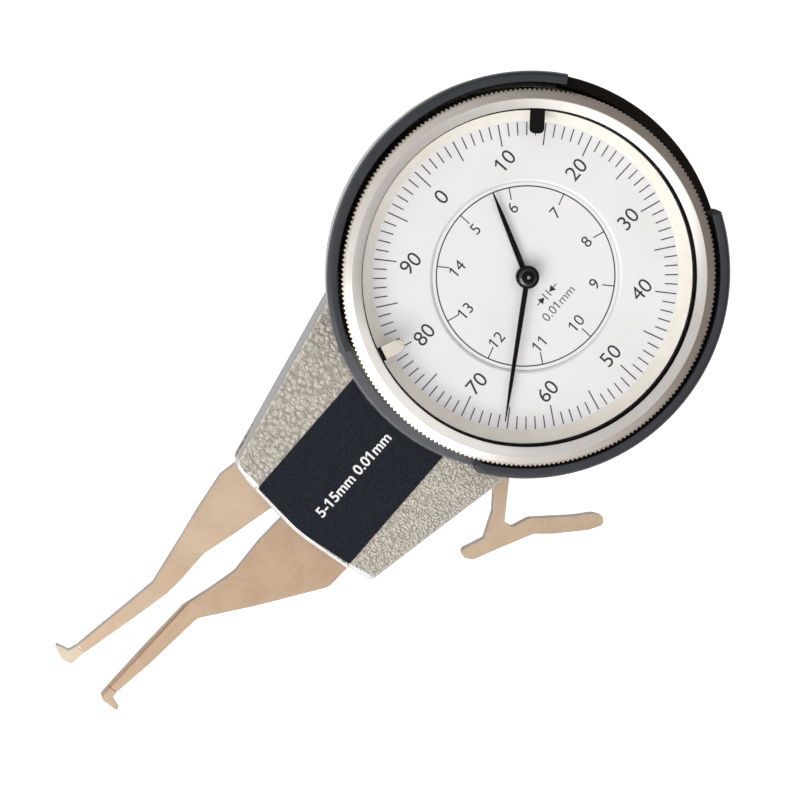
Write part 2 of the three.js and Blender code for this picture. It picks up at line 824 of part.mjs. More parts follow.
const trainDeg = (TRAIN_TURN * 180) / Math.PI;
{
  // first arbor: pinion under the sector, large wheel above it
  const back = Math.atan2(PIVOT[1] - ARBOR_1[1], PIVOT[0] - ARBOR_1[0]);
  const pinion = prism(
    toothOutline(ARBOR_1, PINION_TEETH, M1, {
      add: 0.16,
      ded: 0.24,
      thick: 0.24,
      turn: back + Math.PI / PINION_TEETH,
      points: 3,
    }),
    6.2,
    8.6,
  );
  const arbor = add(
    pinion,
    disc(ARBOR_1, 0.6, 4.6, 12.0, 12),
    disc(ARBOR_1, 0.4, 3.4, 13.2, 12),
    disc(ARBOR_1, 1.5, 9.6, 10.0, 12),
  );
  place("first_pinion_arbor", arbor, ...STEEL);
  const wheel = cut(
    prism(
      toothOutline(ARBOR_1, WHEEL_TEETH, M1, { add: 0.13, ded: 0.28, thick: 0, turn: TRAIN_TURN }),
      ...WHEEL_Z,
      wheelHoles(ARBOR_1, 2.6, 8.4, 4, 20, 9),
    ),
    disc(ARBOR_1, 0.65, 8, 11, 12),
  );
  place("first_wheel", wheel, ...BRASS);
}
{
  // centre arbor: pinion driven by the first wheel, long hand on its top end
  const back = TRAIN_TURN + Math.PI;
  const pinion = prism(
    toothOutline([0, 0], PINION_TEETH, M1, {
      add: 0.16,
      ded: 0.24,
      thick: 0.24,
      turn: back + Math.PI / PINION_TEETH,
      points: 3,
    }),
    8.6,
    10.0,
  );
  place(
    "centre_pinion_arbor",
    add(pinion, disc([0, 0], 0.5, 4.6, 19.5, 12), disc([0, 0], 0.4, 3.4, 5, 12)),
    ...STEEL,
  );
  const pipe = cut(
    add(
      prism(
        toothOutline([0, 0], PAIR_TEETH, M2, {
          add: 0.18,
          ded: 0.3,
          thick: 0,
          turn: TRAIN_TURN + Math.PI / PAIR_TEETH,
        }),
        ...PAIR_Z,
      ),
      disc([0, 0], 1.25, PAIR_Z[0], 17.95, 16),
    ),
    disc([0, 0], 0.75, 10, 19, 16),
  );
  place("short_hand_pipe_wheel", pipe, ...BRASS);
}
{
  // take-up arbor: wheel held against the centre pinion by the hairspring, transfer gear to the short hand's pipe
  place(
    "take_up_arbor",
    add(
      disc(ARBOR_2, 0.6, 4.6, 12.0, 12),
      disc(ARBOR_2, 0.4, 3.4, 13.2, 12),
      disc(ARBOR_2, 1.4, 5.4, 6.4, 12),
      disc(ARBOR_2, 1.5, 9.6, 10.6, 12),
    ),
    ...STEEL,
  );
  const wheel = cut(
    prism(
      toothOutline(ARBOR_2, WHEEL_TEETH, M1, {
        add: 0.13,
        ded: 0.28,
        thick: 0,
        turn: TRAIN_TURN + Math.PI,
      }),
      ...WHEEL_Z,
      wheelHoles(ARBOR_2, 2.6, 8.4, 4, 65, 9),
    ),
    disc(ARBOR_2, 0.65, 8, 11, 12),
  );
  place("take_up_wheel", wheel, ...BRASS);
  const transfer = cut(
    prism(
      toothOutline(ARBOR_2, PAIR_TEETH, M2, {
        add: 0.18,
        ded: 0.3,
        thick: 0,
        turn: TRAIN_TURN + Math.PI,
      }),
      ...PAIR_Z,
    ),
    disc(ARBOR_2, 0.65, 10, 12, 12),
  );
  place("transfer_gear", transfer, ...BRASS);
  // hairspring
  const inside = [];
  const outside = [];
  const turns = 4;
  const n = 15 * turns;
  for (let i = 0; i <= n; i++) {
    const a = trainDeg + (360 * turns * i) / n;
    const r = 1.55 + (5.2 * i) / n;
    inside.push(polar(r, a, ARBOR_2));
    outside.push(polar(r + 0.14, a, ARBOR_2));
  }
  place("hairspring", prism(inside.concat(outside.reverse()), 5.6, 6.2), 0x8f9aa8, 0.3, 1.0);
  const stud = prism(
    rounded(
      [
        [...polar(7.0, trainDeg - 8, ARBOR_2), 0.2],
        [...polar(8.6, trainDeg - 7, ARBOR_2), 0.2],
        [...polar(8.6, trainDeg + 7, ARBOR_2), 0.2],
        [...polar(7.0, trainDeg + 8, ARBOR_2), 0.2],
      ],
      1,
    ),
    PLATE_LOW_Z[1],
    6.4,
  );
  place("hairspring_stud", stud, ...BRASS);
}
{
  // movement plates, pillars and their screws
  const lower = cut(
    disc([0, 0], 24.4, ...PLATE_LOW_Z, 32),
    ...[ARBOR_1, ARBOR_2, [0, 0]].map((c) => disc(c, 0.46, 3, 5, 12)),
    ...PILLARS.map((a) => disc(polar(PILLAR_R, a), 0.8, 3, 5, 10)),
  );
  place("movement_plate_rear", lower, ...BRASS);
  const upper = cut(
    disc([0, 0], 27.0, ...PLATE_TOP_Z, SEG),
    ...[ARBOR_1, ARBOR_2].map((c) => disc(c, 0.46, 12, 14, 12)),
    disc([0, 0], 1.6, 12, 14, 16),
    ...PILLARS.map((a) => disc(polar(PILLAR_R, a), 1.0, 12, 14, 12)),
    ...TOP_SCREWS.map((a) => disc(polar(26.0, a), 0.7, 12, 14, 10)),
  );
  place("movement_plate_front", upper, ...BRASS);
  PILLARS.forEach((a, i) => {
    const c = polar(PILLAR_R, a);
    place(
      "pillar_" + (i + 1),
      cut(
        add(disc(c, 1.7, PLATE_LOW_Z[1], PLATE_TOP_Z[0], 16), disc(c, 0.9, 11, PLATE_TOP_Z[1] - 0.1, 12)),
        disc(c, 0.75, 3, 8, 10),
      ),
      ...BRASS,
    );
    place("pillar_screw_" + (i + 1), screw(c, 2.45, 0.75, 1.4, 0.65, 7.6, 1, 40 * i), ...STEEL);
  });
  TOP_SCREWS.forEach((a, i) =>
    place("plate_screw_" + (i + 1), screw(polar(26.0, a), 14.1, 0.7, 1.1, 0.6, 11.2, -1, 15 + 35 * i), ...STEEL),
  );
}

// ---------------------------------------------------------------- dial, bezel, glass
place(
  "inner_dial",
  turned(
    [
      [1.7, 15.9],
      [7.0, 15.9],
      [7.0, PLATE_TOP_Z[1]],
      [9.0, PLATE_TOP_Z[1]],
      [9.0, 15.9],
      [15.6, 15.9],
      [15.6, 16.7],
      [1.7, 16.7],
    ],
    32,
  ),
  0xe9e9ea,
  0.45,
  0.0,
);
place(
  "outer_dial_ring",
  turned(
    [
      [15.9, 16.4],
      [29.1, 16.4],
      [29.1, Z_DIAL],
      [15.9, Z_DIAL],
    ],
    SEG,
  ),
  0xe9e9ea,
  0.45,
  0.0,
);
place(
  "crystal_spacer_ring",
  turned(
    [
      [26.05, Z_DIAL],
      [29.0, Z_DIAL],
      [29.0, 19.7],
      [28.1, 19.7],
      [27.7, 19.2],
    ],
    SEG,
  ),
  0xe6dfcf,
  0.3,
  0.3,
);
place("crystal", disc([0, 0], 29.1, 19.7, 20.4, SEG), 0xdfe8ee, 0.05, 0.0);
place(
  "bezel",
  turned(
    [
      [R_KNURL - 0.5, 14.4],
      [R_KNURL, 14.9],
      [R_KNURL, Z_KNURL],
      [29.9, Z_BEZEL],
      [28.2, 21.4],
      [28.2, 20.95],
      [28.95, 20.95],
      [28.95, 20.4],
      [29.3, 20.4],
      [29.3, 16.4],
      [29.85, 16.4],
      [29.85, 15.88],
      [29.3, 15.88],
      [29.3, 15.45],
      [29.8, 15.45],
      [29.8, 14.8],
      [29.3, 14.8],
      [29.3, 14.4],
    ],
    SEG,
  ),
  ...CHROME,
);
const openRing = (r0, r1, z0, z1, n, from, to) => {
  const a = [];
  const b = [];
  for (let i = 0; i <= n; i++) {
    a.push(polar(r0, from + ((to - from) * i) / n));
    b.push(polar(r1, from + ((to - from) * i) / n));
  }
  return prism(a.concat(b.reverse()), z0, z1);
};
place("dial_retaining_ring", openRing(28.55, 29.7, 15.95, 16.35, 40, 8, 352), ...STEEL);
place("bezel_friction_spring", openRing(28.45, 29.6, 14.95, 15.3, 40, 188, 532), ...STEEL);
const marker = (a, pointed) => {
  const w = 1.25;
  const at = (r, t) => {
    const [c, s] = [Math.cos(rad(a)), Math.sin(rad(a))];
    return [r * c - t * s, r * s + t * c];
  };
  const inner = pointed
    ? [
        [...at(24.75, -w), 0.2],
        [...at(23.65, -0.55), 0.2],
        [...at(23.65, 0.55), 0.2],
        [...at(24.75, w), 0.2],
      ]
    : [
        [...at(24.1, -w), 1.0],
        [...at(24.1, w), 1.0],
      ];
  return prism(
    rounded(
      [
        ...inner,
        [...at(28.2, w), 0],
        [...polar(28.45, a + 3.2), 0],
        [...polar(28.75, a + 4.6), 0],
        [...polar(28.75, a + 1.5), 0],
        [...polar(28.75, a - 1.5), 0],
        [...polar(28.75, a - 4.6), 0],
        [...polar(28.45, a - 3.2), 0],
        [...at(28.2, -w), 0],
      ],
      3,
    ),
    20.5,
    20.85,
  );
};
place("tolerance_marker_dark", marker(MARKER_DARK, false), ...BLACK);
place("tolerance_marker_pale", marker(MARKER_PALE, true), 0xe9e2cf, 0.4, 0.0);

// ---------------------------------------------------------------- hands
const hand = (angle, length, wRoot, wTip, tail, hubR, z0, z1, hubZ, bore) => {
  const [c, s] = [Math.cos(rad(angle)), Math.sin(rad(angle))];
  const at = (l, t) => [l * c - t * s, l * s + t * c];
  const blade = prism(
    [at(-tail, -wRoot / 2), at(length, -wTip / 2), at(length, wTip / 2), at(-tail, wRoot / 2)],
    z0,
    z1,
  );
  return cut(add(blade, disc([0, 0], hubR, z0, hubZ, 20, angle)), disc([0, 0], bore, z0 - 1, hubZ + 1, 16));
};
place("short_hand", hand(SHORT_HAND.angle, SHORT_HAND.length, 1.15, 0.3, 0.2, 1.75, 17.45, 17.75, 17.75, 1.3), ...BLACK);
place("long_hand", hand(LONG_HAND.angle, LONG_HAND.length, 0.95, 0.2, 0.2, 1.95, 18.25, 18.55, 19.35, 0.55), ...BLACK);

export default group;
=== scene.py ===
import math

import bmesh
import bpy
from mathutils import Matrix, Vector

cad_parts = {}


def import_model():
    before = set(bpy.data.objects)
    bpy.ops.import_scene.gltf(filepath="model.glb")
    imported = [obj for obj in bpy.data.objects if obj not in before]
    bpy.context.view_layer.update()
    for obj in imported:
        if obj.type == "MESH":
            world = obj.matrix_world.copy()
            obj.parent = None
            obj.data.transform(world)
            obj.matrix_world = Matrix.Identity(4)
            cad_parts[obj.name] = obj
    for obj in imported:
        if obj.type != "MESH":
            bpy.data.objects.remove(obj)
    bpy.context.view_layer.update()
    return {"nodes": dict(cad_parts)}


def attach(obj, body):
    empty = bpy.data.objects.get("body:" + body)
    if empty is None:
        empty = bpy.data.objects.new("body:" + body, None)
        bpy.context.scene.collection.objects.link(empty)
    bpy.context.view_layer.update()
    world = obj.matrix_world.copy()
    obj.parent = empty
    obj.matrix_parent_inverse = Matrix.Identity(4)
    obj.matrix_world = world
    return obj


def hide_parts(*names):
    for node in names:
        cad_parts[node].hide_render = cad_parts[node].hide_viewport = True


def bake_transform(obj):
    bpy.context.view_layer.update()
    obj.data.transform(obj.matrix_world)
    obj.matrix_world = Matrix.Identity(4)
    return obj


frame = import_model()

MM = 0.001
rad = math.radians
nodes = frame["nodes"]


# ------------------------------------------------------------------ camera
# fitted to the photograph: 10.6 degrees off the dial's axis, 0.6 m away
def make_camera():
    data = bpy.data.cameras.new("camera")
    data.sensor_width = 36.0
    data.sensor_fit = "HORIZONTAL"
    data.lens = 160.92
    data.clip_start = 0.05
    data.clip_end = 20.0
    cam = bpy.data.objects.new("camera", data)
    right = Vector((0.6556146945674938, -0.7440915102646571, 0.12844141317828014))
    up = Vector((0.7550747082566294, 0.6447770015500779, -0.11884781539118429))
    back = right.cross(up)
    turn = Matrix((right, up, back)).transposed().to_4x4()
    cam.matrix_world = Matrix.Translation(Vector((-26.140, 107.231, 606.961)) * MM) @ turn
    bpy.context.scene.collection.objects.link(cam)
    bpy.context.scene.camera = cam


make_camera()


# ------------------------------------------------------------------ outlines
def polar(r, deg, c=(0.0, 0.0)):
    return (c[0] + r * math.cos(rad(deg)), c[1] + r * math.sin(rad(deg)))


def rounded(points, steps=8):
    """An outline with its corners rounded: points are (x, y, radius)."""
    out = []
    n = len(points)
    for i, q in enumerate(points):
        b = Vector(q[:2])
        r = q[2]
        if not r:
            out.append((b.x, b.y))
            continue
        a = Vector(points[i - 1][:2])
        c = Vector(points[(i + 1) % n][:2])
        u = (a - b).normalized()
        v = (c - b).normalized()
        half = math.acos(max(-1.0, min(1.0, u.dot(v)))) / 2
        cut = min(r / math.tan(half), (a - b).length * 0.49, (b - c).length * 0.49)
        s = b + u * cut
        e = b + v * cut
        for k in range(steps + 1):
            t = k / steps
            w = s * (1 - t) ** 2 + b * 2 * t * (1 - t) + e * t * t
            out.append((w.x, w.y))
    return out


def circle(r, n, c=(0.0, 0.0), turn=0.0):
    return [polar(r, turn + 360.0 * i / n, c) for i in range(n)]


def area_of(points):
    return 0.5 * sum(
        points[i - 1][0] * points[i][1] - points[i][0] * points[i - 1][1] for i in range(len(points))
    )


def tidy(points):
    """Anticlockwise, without points that fall on each other."""
    out = []
    for p in points:
        if not out or (p[0] - out[-1][0]) ** 2 + (p[1] - out[-1][1]) ** 2 > 1e-6:
            out.append((p[0], p[1]))
    if (out[0][0] - out[-1][0]) ** 2 + (out[0][1] - out[-1][1]) ** 2 < 1e-6:
        out.pop()
    return out if area_of(out) > 0 else out[::-1]


def inset(points, d):
    """The outline moved inwards by d, corner by corner."""
    if abs(d) < 1e-9:
        return list(points)
    n = len(points)
    out = []
    for i in range(n):
        p, a, c = Vector(points[i]), Vector(points[i - 1]), Vector(points[(i + 1) % n])
        u = (p - a).normalized()
        v = (c - p).normalized()
        nu = Vector((-u.y, u.x))
        nv = Vector((-v.y, v.x))
        m = nu + nv
        if m.length < 1e-6:
            m = nu
        m.normalize()
        k = d / max(0.35, m.dot(nu))
        out.append((p.x + m.x * k, p.y + m.y * k))
    return out


def levels(z0, z1, low=0.0, high=0.0, steps=3):
    """Rings of a prism with rounded lower and upper edges, as (inset, height)."""
    out = []
    if low:
        for k in range(steps + 1):
            a = rad(90.0 * k / steps)
            out.append((low * (1 - math.sin(a)), z0 + low * (1 - math.cos(a))))
    else:
        out.append((0.0, z0))
    if high:
        for k in range(steps + 1):
            a = rad(90.0 * k / steps)
            out.append((high * (1 - math.cos(a)), z1 - high * (1 - math.sin(a))))
    else:
        out.append((0.0, z1))
    return out


# ------------------------------------------------------------------ meshes
def mesh_object(name, bm):
    bmesh.ops.recalc_face_normals(bm, faces=bm.faces[:])
    me = bpy.data.meshes.new(name)
    bm.to_mesh(me)
    bm.free()
    ob = bpy.data.objects.new(name, me)
    bpy.context.scene.collection.objects.link(ob)
    return ob


def add_rings(bm, rings, closed=False, caps=True):
    """Joins rings of the same number of points with quads; caps the ends."""
    made = [[bm.verts.new(Vector(p) * MM) for p in ring] for ring in rings]
    n = len(made[0])
    pairs = list(zip(made[:-1], made[1:]))
    if closed:
        pairs.append((made[-1], made[0]))
    for a, b in pairs:
        for i in range(n):
            j = (i + 1) % n
            bm.faces.new((a[i], a[j], b[j], b[i]))
    if caps and not closed:
        bm.faces.new(made[0][::-1])
        bm.faces.new(made[-1])
    return made


def add_prism(bm, outline, rows):
    base = tidy(outline)
    add_rings(bm, [[(x, y, z) for x, y in inset(base, d)] for d, z in rows])


def prism(name, outline, rows):
    bm = bmesh.new()
    add_prism(bm, outline, rows)
    return mesh_object(name, bm)


def block(name, outline, z0, z1):
    return prism(name, outline, [(0.0, z0), (0.0, z1)])


def disc(c, r, z0, z1, n=48):
    return block("tool", circle(r, n, c), z0, z1)


def lathe(name, profile, n, c=(0.0, 0.0), bm=None):
    """A turned piece about the vertical through c: profile is a closed list of (radius, height)."""
    own = bm is None
    bm = bmesh.new() if own else bm
    made = []
    for r, z in profile:
        if r < 1e-6:
            made.append([bm.verts.new(Vector((c[0], c[1], z)) * MM)])
        else:
            made.append([bm.verts.new(Vector((*polar(r, 360.0 * i / n, c), z)) * MM) for i in range(n)])
    for k in range(len(made)):
        a, b = made[k - 1], made[k]
        if len(a) == 1 and len(b) == 1:
            continue
        for i in range(n):
            j = (i + 1) % n
            if len(a) == 1:
                bm.faces.new((a[0], b[j], b[i]))
            elif len(b) == 1:
                bm.faces.new((a[i], a[j], b[0]))
            else:
                bm.faces.new((a[i], a[j], b[j], b[i]))
    return mesh_object(name, bm) if own else None


def boolean(ob, steps):
    """Applies (tool, "UNION" or "DIFFERENCE") steps to ob and removes the tools."""
    for tool, kind in steps:
        mod = ob.modifiers.new("cut", "BOOLEAN")
        mod.solver = "MANIFOLD"
        mod.operation = kind
        mod.object = tool
        bpy.context.view_layer.update()
        dg = bpy.context.evaluated_depsgraph_get()
        me = bpy.data.meshes.new_from_object(ob.evaluated_get(dg))
        ob.modifiers.clear()
        old = ob.data
        ob.data = me
        bpy.data.meshes.remove(old)
        spent = tool.data
        bpy.data.objects.remove(tool)
        bpy.data.meshes.remove(spent)
    return ob


def even_normals(ob):
    """Keeps flat faces flat beside their small rounded edges."""
    mod = ob.modifiers.new("normals", "WEIGHTED_NORMAL")
    mod.keep_sharp = True
    mod.weight = 80
    bpy.context.view_layer.update()
    dg = bpy.context.evaluated_depsgraph_get()
    me = bpy.data.meshes.new_from_object(ob.evaluated_get(dg))
    ob.modifiers.clear()
    old = ob.data
    ob.data = me
    bpy.data.meshes.remove(old)


def finish_piece(ob, material, body, stands_for=(), sharp=32.0, smooth=True):
    ob.data.materials.clear()
    for m in material if isinstance(material, (list, tuple)) else [material]:
        ob.data.materials.append(m)
    if smooth:
        ob.data.shade_smooth()
        ob.data.set_sharp_from_angle(angle=rad(sharp))
        even_normals(ob)
    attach(ob, body)
    if stands_for:
        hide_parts(*stands_for)
    return ob


def paint_faces(ob, index, test):
    """Gives the faces whose centre (mm) and normal pass the test the material of that index."""
    for f in ob.data.polygons:
        c = f.center / MM
        if test(c, f.normal):
            f.material_index = index


# ------------------------------------------------------------------ materials
class Mat:
    """A Principled material with a few procedural helpers. Lengths in the textures are millimetres."""

    def __init__(self, name, colour, rough, metal=0.0, **inputs):
        self.m = bpy.data.materials.new(name)
        self.m.use_nodes = True
        self.t = self.m.node_tree
        self.p = self.t.nodes["Principled BSDF"]
        self.p.inputs["Base Color"].default_value = (*colour, 1.0)
        self.p.inputs["Roughness"].default_value = rough
        self.p.inputs["Metallic"].default_value = metal
        for key, value in inputs.items():
            self.p.inputs[key.replace("_", " ")].default_value = value
        co = self.node("ShaderNodeTexCoord")
        scale = self.node("ShaderNodeVectorMath", operation="SCALE")
        self.t.links.new(co.outputs["Object"], scale.inputs[0])
        scale.inputs["Scale"].default_value = 1000.0
        self.co = scale.outputs[0]
        self.bump_in = None

    def node(self, kind, **props):
        n = self.t.nodes.new(kind)
        for key, value in props.items():
            setattr(n, key, value)
        return n

    def link(self, a, b):
        self.t.links.new(a, b)
        return b

    def math(self, operation, a, b=None, clamp=False):
        n = self.node("ShaderNodeMath", operation=operation, use_clamp=clamp)
        for i, v in enumerate((a, b)):
            if v is None:
                continue
            if isinstance(v, (int, float)):
                n.inputs[i].default_value = v
            else:
                self.link(v, n.inputs[i])
        return n.outputs[0]

    def stretched(self, size, co=None, turn=0.0):
        n = self.node("ShaderNodeMapping")
        n.inputs["Scale"].default_value = size
        n.inputs["Rotation"].default_value = (0.0, 0.0, rad(turn))
        self.link(co or self.co, n.inputs["Vector"])
        return n.outputs[0]

    def noise(self, scale, detail=3.0, rough=0.5, co=None, distortion=0.0):
        n = self.node("ShaderNodeTexNoise")
        n.inputs["Scale"].default_value = scale
        n.inputs["Detail"].default_value = detail
        n.inputs["Roughness"].default_value = rough
        n.inputs["Distortion"].default_value = distortion
        self.link(co or self.co, n.inputs["Vector"])
        return n

    def voronoi(self, scale, feature="F1", co=None, smooth=0.3, randomness=1.0):
        n = self.node("ShaderNodeTexVoronoi", feature=feature)
        n.inputs["Scale"].default_value = scale
        n.inputs["Randomness"].default_value = randomness
        if feature == "SMOOTH_F1":
            n.inputs["Smoothness"].default_value = smooth
        self.link(co or self.co, n.inputs["Vector"])
        return n

    def ramp(self, value, stops, interpolation="LINEAR"):
        n = self.node("ShaderNodeValToRGB")
        n.color_ramp.interpolation = interpolation
        els = n.color_ramp.elements
        while len(els) < len(stops):
            els.new(0.5)
        for e, (pos, col) in zip(els, stops):
            e.position = pos
            e.color = (*col, 1.0) if len(col) == 3 else col
        self.link(value, n.inputs["Fac"])
        return n.outputs["Color"]

    def remap(self, value, a, b, c, d, clamp=True):
        n = self.node("ShaderNodeMapRange", clamp=clamp)
        for i, v in enumerate((a, b, c, d)):
            n.inputs[i + 1].default_value = v
        self.link(value, n.inputs[0])
        return n.outputs[0]

    def mix(self, factor, a, b, kind="MIX"):
        n = self.node("ShaderNodeMix", data_type="RGBA", blend_type=kind)
        for key, v in ((0, factor), (6, a), (7, b)):
            if isinstance(v, (int, float)):
                n.inputs[key].default_value = v
            elif isinstance(v, tuple):
                n.inputs[key].default_value = (*v, 1.0) if len(v) == 3 else v
            else:
                self.link(v, n.inputs[key])
        return n.outputs[2]

    def colour(self, socket):
        self.link(socket, self.p.inputs["Base Color"])

    def rough(self, socket):
        self.link(socket, self.p.inputs["Roughness"])

    def bump(self, height, depth_mm, strength=1.0):
        """Height 0 to 1 stands for depth_mm of relief."""
        n = self.node("ShaderNodeBump")
        n.inputs["Strength"].default_value = strength
        n.inputs["Distance"].default_value = depth_mm * MM
        self.link(height, n.inputs["Height"])
        if self.bump_in is not None:
            self.link(self.bump_in, n.inputs["Normal"])
        self.bump_in = n.outputs["Normal"]
        self.link(self.bump_in, self.p.inputs["Normal"])
        return self

    def radial(self, c=(0.0, 0.0)):
        """(distance from the axis through c, angle as a closed pair, height) in millimetres."""
        sep = self.node("ShaderNodeSeparateXYZ")
        self.link(self.co, sep.inputs[0])
        x = self.math("SUBTRACT", sep.outputs[0], c[0])
        y = self.math("SUBTRACT", sep.outputs[1], c[1])
        r = self.math("SQRT", self.math("ADD", self.math("MULTIPLY", x, x), self.math("MULTIPLY", y, y)))
        return r, x, y, sep.outputs[2]

    def rings(self, scale, c=(0.0, 0.0)):
        """Fine turned rings about the vertical through c."""
        r, _, _, z = self.radial(c)
        com = self.node("ShaderNodeCombineXYZ")
        self.link(r, com.inputs[0])
        self.link(z, com.inputs[2])
        return self.noise(scale, 2.0, 0.6, com.outputs[0])


def srgb(r, g, b):
    out = []
    for v in (r, g, b):
        v /= 255.0
        out.append(v / 12.92 if v <= 0.04045 else ((v + 0.055) / 1.055) ** 2.4)
    return tuple(out)


def hammertone():
    m = Mat("hammertone_paint", srgb(184, 179, 166), 0.36, 0.3, Coat_Weight=0.25, Coat_Roughness=0.18)
    warp = m.noise(1.7, 3.0, 0.6)
    push = m.node("ShaderNodeVectorMath", operation="MULTIPLY_ADD")
    m.link(warp.outputs["Color"], push.inputs[0])
    push.inputs[1].default_value = (0.55, 0.55, 0.55)
    m.link(m.co, push.inputs[2])
    large = m.voronoi(1.15, "F1", push.outputs[0])
    small = m.voronoi(2.5, "F1", push.outputs[0])
    fine = m.noise(4.2, 3.0, 0.65)
    patch = m.noise(0.16, 2.0, 0.5)
    pits = m.noise(1.9, 4.0, 0.7, distortion=0.4)

    def dome(cells):
        d = m.remap(cells.outputs["Distance"], 0.0, 0.72, 0.0, 1.0)
        return m.math("SUBTRACT", 1.0, m.math("MULTIPLY", d, d))

    # the drops are coarser towards +Y
    place = m.node("ShaderNodeSeparateXYZ")
    m.link(m.co, place.inputs[0])
    share = m.remap(patch.outputs["Fac"], 0.38, 0.62, 0.16, 0.52)
    share = m.math("MAXIMUM", m.math("ADD", share, m.remap(place.outputs[1], -14.0, 14.0, -0.22, 0.24)), 0.08)
    a = m.math("MULTIPLY", dome(large), share)
    b = m.math("MULTIPLY", dome(small), m.math("SUBTRACT", 0.8, share))
    h = m.math("ADD", a, b)
    h = m.math("ADD", h, m.math("MULTIPLY", fine.outputs["Fac"], 0.36))
    # the relief is strongest on the faces that lay flat while the lacquer dried
    geo = m.node("ShaderNodeNewGeometry")
    sep = m.node("ShaderNodeSeparateXYZ")
    m.link(geo.outputs["True Normal"], sep.inputs[0])
    flat = m.remap(m.math("ABSOLUTE", sep.outputs[2]), 0.2, 0.9, 0.3, 1.0)
    m.bump(m.math("MULTIPLY", h, flat), 0.2, 1.0)
    even = m.math("ADD", m.math("SUBTRACT", h, m.math("MULTIPLY", share, 0.4)), 0.14)
    # colour follows the relief: the lacquer's own mottling, with painted shade in the hollows between the drops and
    # painted highlight on their crowns
    relief_tone_with_painted_shade = m.ramp(even, [(0.3, srgb(160, 154, 144)), (0.58, srgb(183, 178, 168)), (0.9, srgb(203, 198, 189))])
    m.colour(m.mix(m.remap(pits.outputs["Fac"], 0.58, 0.72, 0.0, 0.35), relief_tone_with_painted_shade, srgb(140, 132, 123)))
    m.rough(m.remap(fine.outputs["Fac"], 0.3, 0.7, 0.28, 0.46))
    return m.m


def smooth_paint(name, tone, rough=0.38):
    """The same lacquer where it flowed out smooth, in the tone given; the tones given to it below are painted shade and
    painted highlight.
    """
    m = Mat(name, srgb(*tone), rough, 0.2, Coat_Weight=0.3, Coat_Roughness=0.2)
    fine = m.noise(3.0, 3.0, 0.6)
    cloud = m.noise(0.5, 3.0, 0.5)
    dark = tuple(v * 0.86 for v in srgb(*tone))
    m.colour(m.mix(m.remap(cloud.outputs["Fac"], 0.3, 0.7, 0.0, 1.0), srgb(*tone), dark))
    m.rough(m.remap(fine.outputs["Fac"], 0.3, 0.7, rough - 0.06, rough + 0.08))
    m.bump(fine.outputs["Fac"], 0.02, 0.4)
    return m.m


def moulded_plastic(name, tone, rough, spec):
    m = Mat(name, srgb(*tone), rough, 0.0, Specular_IOR_Level=spec)
    grain = m.noise(5.5, 4.0, 0.6)
    cloud = m.noise(0.25, 3.0, 0.5)
    scuff = m.noise(1.4, 5.0, 0.7, m.stretched((1.0, 1.0, 2.5)), 0.6)
    base = m.mix(m.remap(cloud.outputs["Fac"], 0.3, 0.7, 0.0, 1.0), srgb(*tone), tuple(v * 1.25 for v in srgb(*tone)))
    m.colour(m.mix(m.remap(scuff.outputs["Fac"], 0.62, 0.72, 0.0, 0.3), base, tuple(v * 2.2 for v in srgb(*tone))))
    m.rough(m.remap(grain.outputs["Fac"], 0.3, 0.7, rough - 0.06, rough + 0.1))
    m.bump(grain.outputs["Fac"], 0.03, 0.6)
    return m.m


def label_film():
    m = Mat("label_film", srgb(30, 33, 43), 0.55, 0.0, Specular_IOR_Level=0.08)
    cloud = m.noise(0.35, 3.0, 0.5)
    dots = m.voronoi(1.6, "F1")
    fine = m.noise(3.0, 4.0, 0.7)
    base = m.mix(m.remap(cloud.outputs["Fac"], 0.3, 0.7, 0.0, 1.0), srgb(22, 25, 34), srgb(26, 29, 38))
    base = m.mix(m.remap(fine.outputs["Fac"], 0.4, 0.68, 0.0, 0.7), base, srgb(46, 48, 57))
    m.colour(m.mix(m.remap(dots.outputs["Distance"], 0.03, 0.075, 0.35, 0.0), base, srgb(112, 108, 104)))
    m.rough(m.remap(fine.outputs["Fac"], 0.3, 0.7, 0.48, 0.62))
    m.bump(fine.outputs["Fac"], 0.015, 0.5)
    return m.m


def print_ink(name, colour, rough=0.55):
    m = Mat(name, colour, rough, 0.0)
    n = m.noise(9.0, 3.0, 0.6)
    dark = tuple(c * 0.82 for c in colour)
    m.colour(m.mix(m.remap(n.outputs["Fac"], 0.35, 0.65, 0.0, 1.0), colour, dark))
    m.rough(m.remap(n.outputs["Fac"], 0.3, 0.7, rough - 0.08, rough + 0.08))
    return m.m


def ground_steel(name, light, dark, rough, turn, metal=1.0):
    """Ground flat stock: long fine scratches one way, a few stray ones, faint stains."""
    m = Mat(name, light, rough, metal)
    lines = m.noise(1.0, 5.0, 0.65, m.stretched((0.35, 13.0, 3.0), turn=turn))
    long = m.noise(1.0, 3.0, 0.5, m.stretched((0.05, 3.2, 1.0), turn=turn))
    stain = m.noise(0.16, 4.0, 0.6, distortion=0.8)
    spots = m.noise(1.1, 5.0, 0.7)
    base = m.mix(m.remap(stain.outputs["Fac"], 0.35, 0.7, 0.0, 1.0), light, dark)
    base = m.mix(m.remap(long.outputs["Fac"], 0.3, 0.7, 0.25, 0.0), base, tuple(min(1.0, c * 1.12) for c in light))
    base = m.mix(m.remap(spots.outputs["Fac"], 0.66, 0.78, 0.0, 0.35), base, tuple(c * 0.7 for c in dark))
    m.colour(base)
    m.rough(m.remap(lines.outputs["Fac"], 0.25, 0.75, rough - 0.07, rough + 0.1))
    m.bump(lines.outputs["Fac"], 0.006, 0.7)
    return m.m


